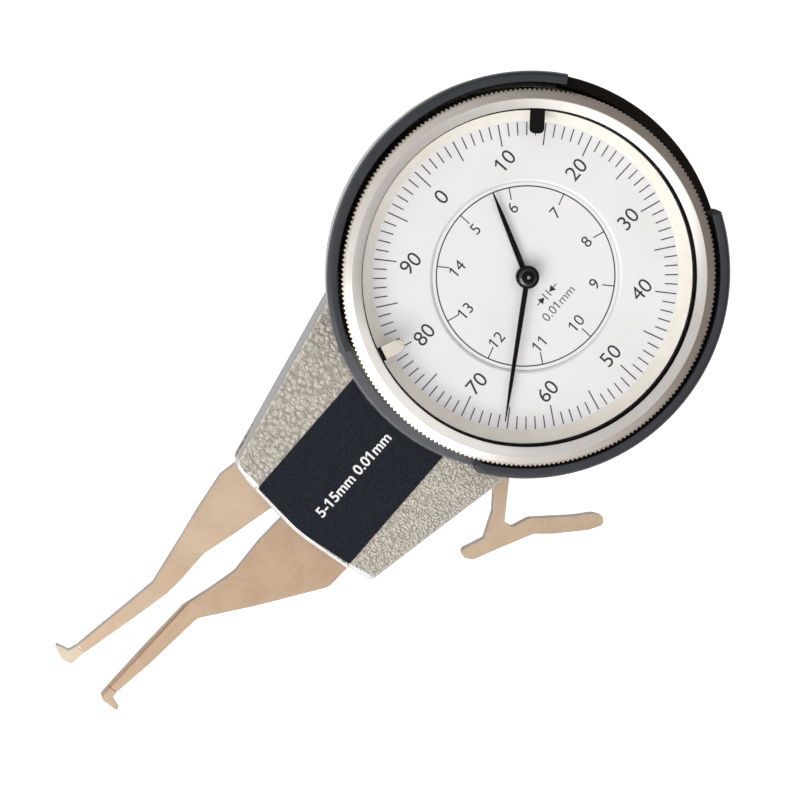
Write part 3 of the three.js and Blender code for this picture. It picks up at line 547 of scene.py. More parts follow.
def satin_chrome():
    """Turned and satin plated: very fine rings about the dial's axis, highlights drawn out along the radius."""
    m = Mat("bezel_chrome", srgb(226, 223, 219), 0.2, 1.0, Anisotropic=0.3)
    tangent = m.node("ShaderNodeTangent", direction_type="RADIAL", axis="Z")
    m.link(tangent.outputs[0], m.p.inputs["Tangent"])
    rings = m.rings(16.0)
    wide = m.rings(2.2)
    smudge = m.noise(0.16, 3.0, 0.5, distortion=0.3)
    tint = m.mix(m.remap(smudge.outputs["Fac"], 0.3, 0.7, 0.0, 1.0), srgb(228, 225, 221), srgb(221, 216, 210))
    m.colour(m.mix(m.remap(wide.outputs["Fac"], 0.35, 0.65, 0.0, 0.25), tint, srgb(214, 210, 204)))
    m.rough(m.remap(rings.outputs["Fac"], 0.25, 0.75, 0.18, 0.25))
    m.bump(rings.outputs["Fac"], 0.001, 0.3)
    return m.m


def knurl_metal():
    m = Mat("bezel_knurl", srgb(206, 200, 190), 0.3, 1.0)
    n = m.noise(3.5, 4.0, 0.6)
    grime = m.noise(0.8, 3.0, 0.6)
    base = m.mix(m.remap(n.outputs["Fac"], 0.3, 0.7, 0.0, 1.0), srgb(214, 208, 198), srgb(176, 168, 155))
    m.colour(m.mix(m.remap(grime.outputs["Fac"], 0.5, 0.75, 0.0, 0.5), base, srgb(120, 100, 78)))
    m.rough(m.remap(n.outputs["Fac"], 0.3, 0.7, 0.24, 0.4))
    m.bump(n.outputs["Fac"], 0.01, 0.5)
    return m.m


def turned_metal(name, light, dark, rough, c=(0.0, 0.0), metal=1.0, scale=7.0):
    m = Mat(name, light, rough, metal)
    rings = m.rings(scale, c)
    cloud = m.noise(0.35, 4.0, 0.6)
    speck = m.noise(2.6, 5.0, 0.65)
    base = m.mix(m.remap(cloud.outputs["Fac"], 0.35, 0.7, 0.0, 1.0), light, dark)
    m.colour(m.mix(m.remap(speck.outputs["Fac"], 0.6, 0.78, 0.0, 0.5), base, tuple(v * 0.6 for v in dark)))
    m.rough(m.remap(rings.outputs["Fac"], 0.25, 0.75, rough - 0.08, rough + 0.1))
    m.bump(rings.outputs["Fac"], 0.008, 0.6)
    return m.m


def dial_paint():
    m = Mat("dial_paint", srgb(233, 233, 236), 0.5, 0.0)
    n = m.noise(6.0, 3.0, 0.6)
    cloud = m.noise(0.09, 2.0, 0.5)
    m.colour(m.mix(m.remap(cloud.outputs["Fac"], 0.35, 0.65, 0.0, 1.0), srgb(238, 238, 241), srgb(235, 234, 237)))
    m.rough(m.remap(n.outputs["Fac"], 0.3, 0.7, 0.42, 0.58))
    m.bump(n.outputs["Fac"], 0.006, 0.4)
    return m.m


def cream_plastic(name="spacer_cream", light=(246, 242, 233), dark=(239, 234, 223), rough=0.3):
    m = Mat(name, srgb(*light), rough, 0.0, Coat_Weight=0.2, Coat_Roughness=0.2)
    n = m.noise(4.0, 3.0, 0.6)
    cloud = m.noise(0.2, 3.0, 0.5)
    m.colour(m.mix(m.remap(cloud.outputs["Fac"], 0.3, 0.7, 0.0, 1.0), srgb(*light), srgb(*dark)))
    m.rough(m.remap(n.outputs["Fac"], 0.3, 0.7, rough - 0.05, rough + 0.1))
    m.bump(n.outputs["Fac"], 0.01, 0.4)
    return m.m


def black_part(name, rough=0.3, tone=(16, 16, 18), spec=0.12, coat=0.0):
    m = Mat(name, srgb(*tone), rough, 0.0, Specular_IOR_Level=spec, Coat_Weight=coat, Coat_Roughness=0.1)
    n = m.noise(5.0, 3.0, 0.6)
    m.colour(m.mix(m.remap(n.outputs["Fac"], 0.35, 0.65, 0.0, 1.0), srgb(*tone), tuple(v * 1.5 for v in srgb(*tone))))
    m.rough(m.remap(n.outputs["Fac"], 0.3, 0.7, rough - 0.08, rough + 0.1))
    m.bump(n.outputs["Fac"], 0.006, 0.4)
    return m.m


def clear_glass(name="crystal_glass", inner=False):
    """The outer face shines by its angle. The inner one has a small fixed shine, as no light is trapped in the pane."""
    m = bpy.data.materials.new(name)
    m.use_nodes = True
    t = m.node_tree
    t.nodes.clear()
    out = t.nodes.new("ShaderNodeOutputMaterial")
    mix = t.nodes.new("ShaderNodeMixShader")
    through = t.nodes.new("ShaderNodeBsdfTransparent")
    through.inputs["Color"].default_value = (1.0, 1.0, 1.0, 1.0)
    shine = t.nodes.new("ShaderNodeBsdfGlossy")
    shine.inputs["Color"].default_value = (1.0, 1.0, 1.0, 1.0)
    shine.inputs["Roughness"].default_value = 0.02
    if inner:
        mix.inputs[0].default_value = 0.004
    else:
        fresnel = t.nodes.new("ShaderNodeFresnel")
        fresnel.inputs["IOR"].default_value = 1.12
        t.links.new(fresnel.outputs[0], mix.inputs[0])
    t.links.new(through.outputs[0], mix.inputs[1])
    t.links.new(shine.outputs[0], mix.inputs[2])
    t.links.new(mix.outputs[0], out.inputs["Surface"])
    return m


PAINT = hammertone()
# painted shade and painted reflection: a dark, cool copy of the lacquer for the housing's side walls
PAINT_SIDE_SHADE = smooth_paint("lacquer_side_painted_shade", (68, 69, 74), 0.5)
# painted highlight: a near-white copy of the lacquer for the light along the front edge's rounding
PAINT_EDGE_HIGHLIGHT = smooth_paint("lacquer_edge_painted_highlight", (203, 204, 206), 0.3)
# painted shade: a grey copy of the lacquer for the front wall under the rounding
PAINT_FRONT_SHADE = smooth_paint("lacquer_front_painted_shade", (132, 132, 134), 0.4)
PLASTIC = moulded_plastic("bumper_plastic", (36, 38, 46), 0.32, 0.5)
# painted light: a lighter copy of the ring's plastic for the low arc beside the neck, where the key light falls
PLASTIC_LOW_LIT = moulded_plastic("bumper_plastic_low_painted_light", (80, 82, 89), 0.32, 0.5)
PLASTIC_MATT = moulded_plastic("bumper_plastic_matt", (29, 26, 24), 0.85, 0.15)
FILM = label_film()
WHITE_INK = print_ink("label_ink", srgb(240, 240, 242), 0.45)
DIAL_INK = print_ink("dial_ink", srgb(38, 38, 43), 0.5)
BLACK_INK = print_ink("dial_ink_black", srgb(14, 14, 16), 0.5)
BLADE = ground_steel("blade_steel", srgb(207, 184, 160), srgb(193, 168, 143), 0.36, 38.0, 0.85)
BLADE_FIXED = ground_steel("blade_steel_fixed", srgb(199, 174, 149), srgb(185, 158, 133), 0.36, -30.0, 0.85)
# painted shade: a darker copy of the ground steel for the slope along the fixed finger's inner edge
BLADE_SLOPE_SHADE = ground_steel("blade_slope_painted_shade", srgb(176, 150, 128), srgb(160, 135, 114), 0.4, 2.0, 0.85)
# painted shade: a dark grey copy of the ground steel for the arms' and tips' side walls
BLADE_SIDE_SHADE = ground_steel("blade_side_painted_shade", srgb(124, 121, 124), srgb(98, 93, 95), 0.42, 90.0, 0.9)
TIP = ground_steel("tip_metal", srgb(219, 204, 184), srgb(206, 188, 167), 0.3, 70.0, 0.85)
TIP_FIXED = ground_steel("tip_metal_fixed", srgb(199, 177, 154), srgb(184, 160, 136), 0.3, 20.0, 0.85)
# painted highlight: a near-white copy of the tip steel for the bright line along the moving tip's joint
TIP_JOINT_HIGHLIGHT = ground_steel("tip_joint_painted_highlight", srgb(240, 234, 224), srgb(226, 216, 202), 0.3, 0.0, 0.6)
STEEL = turned_metal("small_steel", srgb(188, 188, 190), srgb(160, 158, 156), 0.28)
SPRING = turned_metal("spring_steel", srgb(150, 154, 162), srgb(116, 118, 126), 0.3)
BRASS = turned_metal("brass_movement", srgb(206, 172, 92), srgb(178, 140, 66), 0.32)
DIAL = dial_paint()
CREAM = cream_plastic()
GLASS = clear_glass()
GLASS_INNER = clear_glass("crystal_glass_inner", True)
CHROME = satin_chrome()
KNURL = knurl_metal()
BLACK = black_part("hand_black", 0.25, (8, 7, 7), 0.05)
BLACK_GLOSS = black_part("hand_black_gloss", 0.12, (7, 7, 8), 0.75, 0.0)
# the dark marker's own black, also used as painted shade over the pale marker's end under the lip
MARK_BLACK_AND_SHADE = black_part("marker_dark", 0.45, (6, 6, 6))
MARK_PALE = cream_plastic("marker_pale", (219, 213, 203), (206, 199, 188), 0.4)
# painted shade: a dark copy of the pale marker's plastic for its side walls
MARK_SIDE_SHADE = cream_plastic("marker_side_painted_shade", (96, 84, 74), (80, 70, 62), 0.5)
# painted shade: black for the dark gap round the crystal's seat and under the bezel's lip
SEAT_SHADE = black_part("seat_and_lip_painted_shade", 0.5, (14, 13, 13))

# ------------------------------------------------------------------ housing
Z_FLOOR, Z_PART, Z_NECK, Z_ROOF, Z_RIM = 1.6, 6.8, 12.5, 11.0, 14.1
PIVOT = (-44.7, 0.0)
COVER_SCREWS = [(-42.5, 14.0), (-42.5, -14.0), (18.77, 22.37), (18.77, -22.37)]
ARM_SCREWS = [(-54.0, -8.4), (-48.0, -9.6)]
DOWEL = (-54.0, -0.6)
NECK = [
    (-23.0, 22.4, 0), (-55.95, 15.45, 1.7), (-56.95, 11.2, 4), (-58.15, 0.0, 30),
    (-57.0, -11.2, 4), (-56.2, -15.15, 1.9), (-23.0, -22.1, 0),
]
FRONT_EDGE = 1.3  # rounding of the neck's front edge, beside the label
NECK_IN = [
    (-24.0, 20.2, 0), (-53.2, 13.7, 0.8), (-55.2, 8.0, 2), (-55.8, 0.0, 20),
    (-55.2, -8.0, 2), (-53.2, -13.7, 0.8), (-24.0, -20.2, 0),
]
NECK_REAR = [
    (-22.5, 22.0, 0), (-55.6, 15.1, 1.7), (-56.55, 11.0, 4), (-57.7, 0.0, 30),
    (-56.6, -11.0, 4), (-55.8, -14.75, 1.9), (-22.5, -21.6, 0),
]
LEVER_SLOT = [(-34.6, -17.5), (-27.0, -10.0), (-20.0, -16.0), (-22.4, -27.5), (-30.0, -33.0), (-38.6, -24.5)]
WINDOW = [(-20, 16.5), (-34, 16.5), (-34, -16.5), (-20, -16.5)]


def front_shell():
    cup = lathe(
        "housing_front_detail",
        [
            (24.8, 10.4), (24.8, 12.2), (27.2, 12.2), (27.2, 15.8), (28.75, 15.8), (28.9, 15.65), (28.9, 15.4),
            (28.3, 15.4), (28.3, 14.85), (28.9, 14.85), (28.9, Z_RIM), (30.7, Z_RIM), (30.91, Z_RIM - 0.09),
            (31.0, Z_RIM - 0.3), (31.0, 9.5), (32.3, 9.5), (32.51, 9.41), (32.6, 9.2), (32.6, Z_PART + 0.4),
            (32.48, Z_PART + 0.12), (32.2, Z_PART), (27.5, Z_PART), (27.5, 10.4),
        ],
        200,
    )
    outline = rounded(NECK, 10)
    neck = prism("tool", outline, levels(Z_PART, Z_NECK, 0.25, 0.7, 4))
    front = [(-20, 40), (-55.95, 40)] + [q for q in outline if q[0] < -56.3] + [(-56.2, -40), (-20, -40)]
    front = prism("tool", front, levels(0.0, Z_NECK + 0.05, 0.0, FRONT_EDGE + 0.15, 8))
    seat = [(-36, 10.4), (-56.85, 10.4), (-57.3, 6), (-57.6, 1.6), (-57.6, -1.6), (-57.3, -6), (-56.85, -10.6), (-36, -10.6)]
    seat = prism("tool", seat, levels(Z_ROOF, Z_NECK, 0.0, 0.35, 3))
    boolean(neck, [
        (front, "INTERSECT"),
        (seat, "UNION"),
        (block("tool", rounded(NECK_IN, 6), Z_PART - 1, Z_ROOF), "DIFFERENCE"),
        (disc((0, 0), 28.7, Z_PART - 1, Z_NECK + 1, 120), "DIFFERENCE"),
    ])
    steps = [(neck, "UNION"), (block("tool", WINDOW, Z_PART - 1, 10.4), "DIFFERENCE")]
    for c in COVER_SCREWS[:2]:
        steps.append((disc(c, 2.4, Z_PART, Z_ROOF + 0.3, 32), "UNION"))
    steps.append((disc(PIVOT, 3.1, 8.4, Z_ROOF + 0.3, 40), "UNION"))
    steps.append((disc(PIVOT, 2.05, 8.0, 10.6, 40), "DIFFERENCE"))
    for c in COVER_SCREWS:
        steps.append((disc(c, 0.95, Z_PART - 1, 10.2, 20), "DIFFERENCE"))
    for a in (60, 180, 300):
        steps.append((disc(polar(26.0, a), 0.7, 11.0, 13.0, 20), "DIFFERENCE"))
    steps.append((disc(polar(13, 122, PIVOT), 0.65, 10.0, 11.6, 16), "DIFFERENCE"))
    steps.append((block("tool", LEVER_SLOT, Z_PART - 1, Z_PART + 0.35), "DIFFERENCE"))
    boolean(cup, steps)
    finish_piece(cup, [PAINT, PAINT_SIDE_SHADE, PAINT_EDGE_HIGHLIGHT, PAINT_FRONT_SHADE], "housing", ["housing_front_shell"])
    # painted shade: the neck's side walls take the dark copy
    paint_faces(cup, 1, lambda c, n: c.x < -24 and abs(n.z) < 0.5 and abs(n.y) > 0.6)
    # painted highlight: the upward-facing rounding of the front edge takes the light copy
    paint_faces(cup, 2, lambda c, n: c.x < -54 and n.x < -0.2 and n.z > 0.4)
    # painted shade: the front wall of the neck takes the grey copy
    paint_faces(cup, 3, lambda c, n: c.x < -54 and n.x < -0.2 and -0.3 < n.z <= 0.4 and c.z > 6.9)


def rear_cover():
    rim = lathe(
        "housing_rear_detail",
        [
            (0, 0), (30.0, 0), (30.5, 0.12), (31.2, 0.55), (31.48, 1.0), (31.6, 1.6), (31.6, Z_PART - 0.4),
            (31.48, Z_PART - 0.12), (31.2, Z_PART), (29.0, Z_PART), (29.0, Z_FLOOR), (0, Z_FLOOR),
        ],
        200,
    )
    neck = prism("tool", rounded(NECK_REAR, 10), levels(0.0, Z_PART, 0.8, 0.25, 4))
    boolean(neck, [
        (block("tool", rounded(NECK_IN, 6), Z_FLOOR, Z_PART + 1), "DIFFERENCE"),
        (disc((0, 0), 29.0, Z_FLOOR, Z_PART + 1, 120), "DIFFERENCE"),
    ])
    steps = [
        (neck, "UNION"),
        (block("tool", WINDOW, Z_FLOOR, Z_PART + 1), "DIFFERENCE"),
        (block("tool", [(-56.0, 2.4), (-52.0, 2.4), (-52.0, -6.6), (-45.8, -7.4), (-45.8, -12.0), (-55.6, -11.0)],
               Z_FLOOR - 0.3, 1.8), "UNION"),
        (disc(PIVOT, 3.6, Z_FLOOR - 0.3, 4.1, 40), "UNION"),
        (disc((-47.1, 10.2), 2.0, Z_FLOOR - 0.3, 4.1, 32), "UNION"),
        (disc((-32.7, -5.0), 2.0, Z_FLOOR - 0.3, 4.1, 32), "UNION"),
    ]
    for i, c in enumerate(COVER_SCREWS):
        steps.append((disc(c, 2.6 if i < 2 else 2.2, Z_FLOOR - 0.3, Z_PART, 40), "UNION"))
    steps += [
        (block("tool", [(-60, -13.0), (-52.6, -13.0), (-52.6, 3.6), (-53.4, 11.6), (-49.2, 13.6), (-49.2, 18), (-60, 18)],
               1.8, Z_PART + 1), "DIFFERENCE"),
        (block("tool", LEVER_SLOT, 4.1, Z_PART + 1), "DIFFERENCE"),
        (disc(PIVOT, 2.05, 1.0, 5.1, 40), "DIFFERENCE"),
        (disc((-47.1, 10.2), 1.05, 1.0, 5.1, 24), "DIFFERENCE"),
        (disc((-32.7, -5.0), 1.05, 1.0, 5.1, 24), "DIFFERENCE"),
    ]
    for c in COVER_SCREWS:
        steps.append((lathe("tool", [(0, -1), (2.15, -1), (2.15, 0.0), (1.9, 0.25), (1.9, 1.25), (0, 1.25)], 40, c), "DIFFERENCE"))
        steps.append((disc(c, 1.1, 0.5, Z_PART + 1, 24), "DIFFERENCE"))
    for c in ARM_SCREWS:
        steps.append((lathe("tool", [(0, -1), (1.9, -1), (1.9, 0.0), (1.7, 0.2), (1.7, 1.05), (0, 1.05)], 40, c), "DIFFERENCE"))
        steps.append((disc(c, 0.95, 0.5, 3.0, 20), "DIFFERENCE"))
    steps.append((disc(DOWEL, 0.85, -1, 3, 24), "DIFFERENCE"))
    boolean(rim, steps)
    finish_piece(rim, [PAINT, PAINT_SIDE_SHADE], "housing", ["housing_rear_cover"])
    # painted shade: the rear cover's side walls take the dark copy
    paint_faces(rim, 1, lambda c, n: c.x < -24 and abs(n.z) < 0.5 and abs(n.y) > 0.6)


front_shell()
rear_cover()


def slotted_screw(name, node, c, z_head, head_h, head_r, shank_r, shank_end, turn, slot_w):
    """Cheese-head screw from the rear: chamfered, slightly crowned head, cut slot."""
    z1 = z_head + head_h
    head = lathe(
        name,
        [
            (0, z_head), (head_r * 0.45, z_head + 0.01), (head_r * 0.8, z_head + 0.05), (head_r * 0.94, z_head + 0.13),
            (head_r, z_head + 0.27), (head_r, z1 - 0.05), (head_r - 0.06, z1), (shank_r, z1),
            (shank_r, shank_end - 0.25), (shank_r - 0.25, shank_end), (0, shank_end),
        ],
        48, c,
    )
    w, l = slot_w / 2, head_r * 1.5
    co, si = math.cos(rad(turn)), math.sin(rad(turn))
    ring = [(c[0] + x * co - y * si, c[1] + x * si + y * co) for x, y in ((-l, -w), (l, -w), (l, w), (-l, w))]
    boolean(head, [(block("tool", ring, z_head - 0.5, z_head + head_h * 0.5), "DIFFERENCE")])
    finish_piece(head, turned_metal("screw_steel_" + node[-1] + node[0], srgb(196, 196, 198), srgb(168, 166, 162), 0.24, c, 1.0, 9.0),
                 "housing", [node])


for i, c in enumerate(COVER_SCREWS):
    slotted_screw("cover_screw_detail_%d" % (i + 1), "cover_screw_%d" % (i + 1), c, 0.15, 1.1, 1.75, 0.85, 10.0, 25 + 50 * i, 0.55)
for i, c in enumerate(ARM_SCREWS):
    slotted_screw("arm_screw_detail_%d" % (i + 1), "fixed_arm_screw_%d" % (i + 1), c, 0.1, 0.9, 1.55, 0.75, 3.6, 70 - 40 * i, 0.5)


# ------------------------------------------------------------------ bumper ring
def smoothstep(t):
    t = max(0.0, min(1.0, t))
    return t * t * (3 - 2 * t)


def bumper_ring():
    high, low, cx = 20.1, 13.4, 0.35

    def top(a):
        """Height of the ring's top at an angle in degrees."""
        a = (a + 180.0) % 360.0 - 180.0
        w = 0.55
        h = high
        if abs(a) < 30.3 + w:
            h = low + (high - low) * smoothstep((abs(a) - 30.3) / w)
        b = abs(abs(a) - 180.0)
        if b < 26.5 + w:
            h = low + (high - low) * smoothstep((b - 26.5) / w)
        return h

    angles = []
    step = 0.75
    a = 0.0
    while a < 360.0 - 1e-6:
        angles.append(a)
        a += step
    for centre in (30.6, -30.6, 153.2, 206.8):
        angles += [(centre + 0.08 * k) % 360.0 for k in range(-6, 7)]
    angles = sorted(set(round(v, 4) for v in angles))
    bm = bmesh.new()
    rings = []
    for a in angles:
        h = top(a)
        tall = smoothstep((h - 13.45) / 1.5)
        ro = 33.82 + 0.38 * tall
        fr, fz = 0.28 + 0.67 * tall, 0.28 + 0.62 * tall
        ri = 31.95 + 0.35 * tall
        fi = 0.12 + 0.13 * tall
        prof = [(31.5, 9.5), (33.15, 9.5), (33.33, 9.58), (33.42, 9.9), (33.7, 12.4)]
        for k in range(7):
            t = rad(15.0 * k)
            prof.append((ro - fr * (1 - math.cos(t)), h - fz * (1 - math.sin(t))))
        for k in range(4):
            t = rad(30.0 * k)
            prof.append((ri + fi * (1 - math.sin(t)), h - fi * (1 - math.cos(t))))
        prof += [(ri, 12.4), (31.95, 12.0), (31.95, 10.4), (31.5, 10.4)]
        rings.append([(cx + r * math.cos(rad(a)), r * math.sin(rad(a)), z) for r, z in prof])
    add_rings(bm, rings, closed=True)
    ob = mesh_object("bumper_ring_detail", bm)
    under = block("tool", [(-20, 23.9), (-60, 14.9), (-60, -14.6), (-20, -23.4)], 0, Z_NECK)
    boolean(ob, [(under, "DIFFERENCE")])
    finish_piece(ob, [PLASTIC, PLASTIC_MATT, PLASTIC_LOW_LIT], "housing", ["bumper_ring"], sharp=38.0)
    paint_faces(ob, 1, lambda c, n: abs(math.atan2(c.y, c.x - cx)) < rad(30.95) and (c.z < 13.6 or abs(n.z) < 0.9))
    # painted light: the low arc beside the neck takes the lighter copy
    paint_faces(ob, 2, lambda c, n: abs(math.atan2(c.y, c.x - cx)) > rad(153.3) and c.z < 13.6)


bumper_ring()


# ------------------------------------------------------------------ lettering
def glyphs(text, height, weight, depth, spacing=1.0):
    """(vertices, faces) of a line of text, digits `height` mm tall, centred on the origin, `depth` mm thick."""
    data = bpy.data.curves.new("text", "FONT")
    data.size = 1.0
    data.offset = weight
    data.space_character = spacing
    data.resolution_u = 5
    ob = bpy.data.objects.new("text", data)
    bpy.context.scene.collection.objects.link(ob)

    def extent(body):
        data.body = body
        bpy.context.view_layer.update()
        me = ob.to_mesh()
        xs = [v.co.x for v in me.vertices]
        out = (min(xs), max(xs))
        ob.to_mesh_clear()
        return out

    bars = [extent(text[:i] + "1") for i, ch in enumerate(text) if ch == "1"]
    data.body = text
    data.extrude = 0.01
    bpy.context.view_layer.update()
    me = ob.to_mesh()
    verts = [tuple(v.co) for v in me.vertices]
    faces = [tuple(p.vertices) for p in me.polygons]
    ob.to_mesh_clear()
    bpy.data.objects.remove(ob)
    bpy.data.curves.remove(data)
    for _, right in bars:
        # the flag of the 1
        left = right - 0.098 - 2 * weight
        k = weight
        flag = [(left, 0.682 + k), (left - 0.07, 0.6 + k), (left - 0.165, 0.53 + k), (left - 0.165, 0.455 - k),
                (left - 0.08, 0.497 - k), (left, 0.56 - k)]
        n = len(verts)
        verts += [(x, y, -0.01) for x, y in flag] + [(x, y, 0.01) for x, y in flag]
        faces.append(tuple(range(n + 6, n + 12)))
        faces.append(tuple(range(n + 5, n - 1, -1)))
        for i in range(6):
            j = (i + 1) % 6
            faces.append((n + i, n + j, n + 6 + j, n + 6 + i))
    xs = [v[0] for v in verts]
    cx = (min(xs) + max(xs)) / 2
    scale = height / 0.69
    out = [((x - cx) * scale, (y - 0.341) * scale, z / 0.02 * depth) for x, y, z in verts]
    return out, faces


def put_text(bm, text, height, x, y, z, turn=0.0, weight=0.0, depth=0.02, spacing=1.0):
    """Adds a line of text to bm, its centre at (x, y), its underside at z, in millimetres."""
    verts, faces = glyphs(text, height, weight, depth, spacing)
    co, si = math.cos(rad(turn)), math.sin(rad(turn))
    made = [bm.verts.new(Vector((x + a * co - b * si, y + a * si + b * co, z + c + depth / 2)) * MM) for a, b, c in verts]
    for f in faces:
        try:
            bm.faces.new([made[i] for i in f])
        except ValueError:
            pass


def put_quad(bm, points, z, depth=0.02):
    ring = tidy(points)
    add_rings(bm, [[(a, b, z) for a, b in ring], [(a, b, z + depth) for a, b in ring]])


def put_tick(bm, angle, r0, r1, width, z):
    co, si = math.cos(rad(angle)), math.sin(rad(angle))
    w = width / 2
    put_quad(bm, [(r * co - t * si, r * si + t * co) for r, t in ((r0, -w), (r1, -w), (r1, w), (r0, w))], z)


def put_ring(bm, r0, r1, z, n=240, depth=0.02):
    lathe("", [(r0, z), (r1, z), (r1, z + depth), (r0, z + depth)], n, bm=bm)


# ------------------------------------------------------------------ label plate
def label():
    plate = prism(
        "label_plate_detail",
        rounded([(-30.0, 10.1, 0), (-56.4, 10.1, 0.5), (-57.45, 0, 20), (-56.2, -10.3, 0.5), (-30.0, -10.3, 0)], 10),
        levels(Z_NECK + 0.005, Z_NECK + 0.3, 0.0, 0.14, 3),
    )
    boolean(plate, [(disc((0.35, 0), 34.0, Z_NECK - 1, Z_NECK + 1, 240), "DIFFERENCE")])
    finish_piece(plate, FILM, "housing", ["label_plate"])
    bm = bmesh.new()
    put_text(bm, "5-15mm 0.01mm", 1.8, -44.25, -0.7, Z_NECK + 0.295, 0.0, 0.02, 0.03)
    text = mesh_object("label_lettering", bm)
    finish_piece(text, WHITE_INK, "housing", smooth=False)


label()

# ------------------------------------------------------------------ arms
FIXED_Z, MOVING_Z = (1.8, 4.1), (4.4, 6.8)
FIXED = [
    (-99.1, 4.0, 0), (-92.0, 2.95, 1), (-80.6, 1.85, 2), (-72.3, -4.55, 3), (-61.9, -11.9, 3), (-57.4, -12.15, 1),
    (-52.0, -12.1, 0), (-45.9, -12.3, 0.6), (-45.9, -7.2, 0.6), (-51.6, -6.4, 1), (-51.6, 2.6, 0.6),
    (-58.1, 2.2, 0.5), (-63.8, 2.5, 2), (-70.3, 2.2, 2), (-74.7, 3.3, 2), (-80.5, 5.05, 2), (-90.0, 5.5, 3),
    (-99.2, 5.75, 0),
]
FIXED_TIP = [
    (-99.18, 4.0, 0), (-100.3, 3.9, 0.3), (-100.95, 1.85, 0.35), (-101.6, 2.0, 0.35), (-101.75, 4.95, 0.8),
    (-101.2, 5.78, 0.5), (-99.26, 5.75, 0),
]
MOVING = [
    (-97.0, 14.87, 0), (-86.0, 13.0, 2), (-80.6, 12.1, 2), (-71.5, 13.6, 2), (-66.0, 14.6, 1), (-59.0, 15.5, 1.5),
    (-55.7, 14.8, 1), (-50.5, 11.6, 2), (-44.7, 6.6, 3), (-38.6, 2.6, 3), (-37.6, -3.4, 3), (-32.6, -12.4, 3),
    (-27.6, -17.6, 1.5), (-26.9, -22.35, 1), (-33.75, -27.2, 0.9), (-33.35, -28.8, 0.7), (-30.4, -29.95, 1.5),
    (-25.0, -35.7, 2), (-22.5, -37.9, 0.9), (-21.65, -39.5, 0.9), (-22.9, -40.7, 0.9), (-25.3, -39.2, 2),
    (-29.75, -34.95, 3), (-31.9, -32.4, 1), (-38.0, -29.3, 0), (-42.1, -27.35, 0.9), (-42.95, -25.8, 0.8),
    (-42.1, -24.6, 0.8), (-38.05, -26.3, 0.7), (-33.6, -24.35, 3), (-30.0, -21.5, 1.5), (-37.6, -13.6, 3),
    (-42.8, -7.4, 2), (-49.4, -6.0, 3), (-52.4, -1.2, 3), (-54.2, 3.6, 2), (-58.3, 5.3, 2), (-65.0, 7.0, 2),
    (-71.3, 8.8, 2), (-77.1, 8.8, 2), (-80.5, 9.1, 2), (-86.7, 10.5, 2), (-97.15, 13.08, 0),
]
MOVING_TIP = [
    (-97.06, 14.89, 0), (-98.55, 15.4, 0.3), (-99.08, 17.6, 0.3), (-99.62, 17.55, 0.35), (-100.5, 15.35, 0.8),
    (-100.15, 13.6, 0.8), (-97.21, 13.1, 0),
]


def hull(points):
    bm = bmesh.new()
    for q in points:
        bm.verts.new(Vector(q) * MM)
    bmesh.ops.convex_hull(bm, input=bm.verts)
    return mesh_object("tool", bm)


def relief():
    """The ground slope along the inner edge of the fixed finger."""
    points = []
    for x, y in ((-77.0, 4.93), (-104.0, 5.88)):
        points += [(x, y - 0.42, FIXED_Z[1]), (x, y + 0.42, FIXED_Z[1] - 1.0), (x, y + 0.42, FIXED_Z[1] + 1.0), (x, y - 0.42, FIXED_Z[1] + 1.0)]
    return hull(points)


# Gives the side walls the material of this index; in every use here that is a darker copy that paints their shade.
def side_faces(ob, index=1):
    paint_faces(ob, index, lambda c, n: abs(n.z) < 0.5)


def arms():
    # faces of the ground slope, which take the darker copy that paints their shade
    def slope(c, n):
        return 0.5 < n.z < 0.8 and n.y > 0.5 and c.x < -77.0

    fixed = prism("fixed_arm_detail", rounded(FIXED, 8), levels(*FIXED_Z, 0.05, 0.05, 2))
    steps = [(disc(c, 0.85, 1, 3.7, 20), "DIFFERENCE") for c in ARM_SCREWS]
    steps.append((disc(DOWEL, 0.85, 1, 5, 24), "DIFFERENCE"))
    steps.append((relief(), "DIFFERENCE"))
    boolean(fixed, steps)
    finish_piece(fixed, [BLADE_FIXED, BLADE_SIDE_SHADE, BLADE_SLOPE_SHADE], "housing", ["fixed_arm"])
    side_faces(fixed)
    paint_faces(fixed, 0, lambda c, n: c.x < -98.8 and n.x < -0.6)
    paint_faces(fixed, 2, slope)
    tip = prism("fixed_arm_tip_detail", rounded(FIXED_TIP, 8), levels(*FIXED_Z, 0.05, 0.05, 2))
    boolean(tip, [(relief(), "DIFFERENCE")])
    finish_piece(tip, [TIP_FIXED, BLADE_SIDE_SHADE, BLADE_SLOPE_SHADE], "housing", ["fixed_arm_tip"])
    side_faces(tip)
    paint_faces(tip, 0, lambda c, n: c.x > -99.6 and n.x > 0.6)
    paint_faces(tip, 2, slope)
    moving = prism("moving_arm_detail", rounded(MOVING, 8), levels(*MOVING_Z, 0.1, 0.1, 2))
    boolean(moving, [
        (disc(PIVOT, 3.05, 4, 8, 40), "DIFFERENCE"),
        (disc(polar(5.2, 8, PIVOT), 0.6, 5.2, 8, 16), "DIFFERENCE"),
        (disc(polar(5.2, 108, PIVOT), 0.6, 5.2, 8, 16), "DIFFERENCE"),
    ])
    finish_piece(moving, [BLADE, BLADE_SIDE_SHADE, TIP_JOINT_HIGHLIGHT], "moving_arm", ["moving_arm"])
    side_faces(moving)
    # painted highlight: the moving arm's end faces in the joint take the near-white copy
    paint_faces(moving, 2, lambda c, n: c.x < -96.8 and n.x < -0.3)
    tip = prism("moving_arm_tip_detail", rounded(MOVING_TIP, 8), levels(*MOVING_Z, 0.08, 0.08, 2))
    finish_piece(tip, [TIP, BLADE_SIDE_SHADE, TIP_JOINT_HIGHLIGHT], "moving_arm", ["moving_arm_tip"])
    side_faces(tip)
    # painted highlight: the tip's end faces in the joint take the near-white copy
    paint_faces(tip, 2, lambda c, n: c.x > -97.4 and n.x > 0.3)


arms()


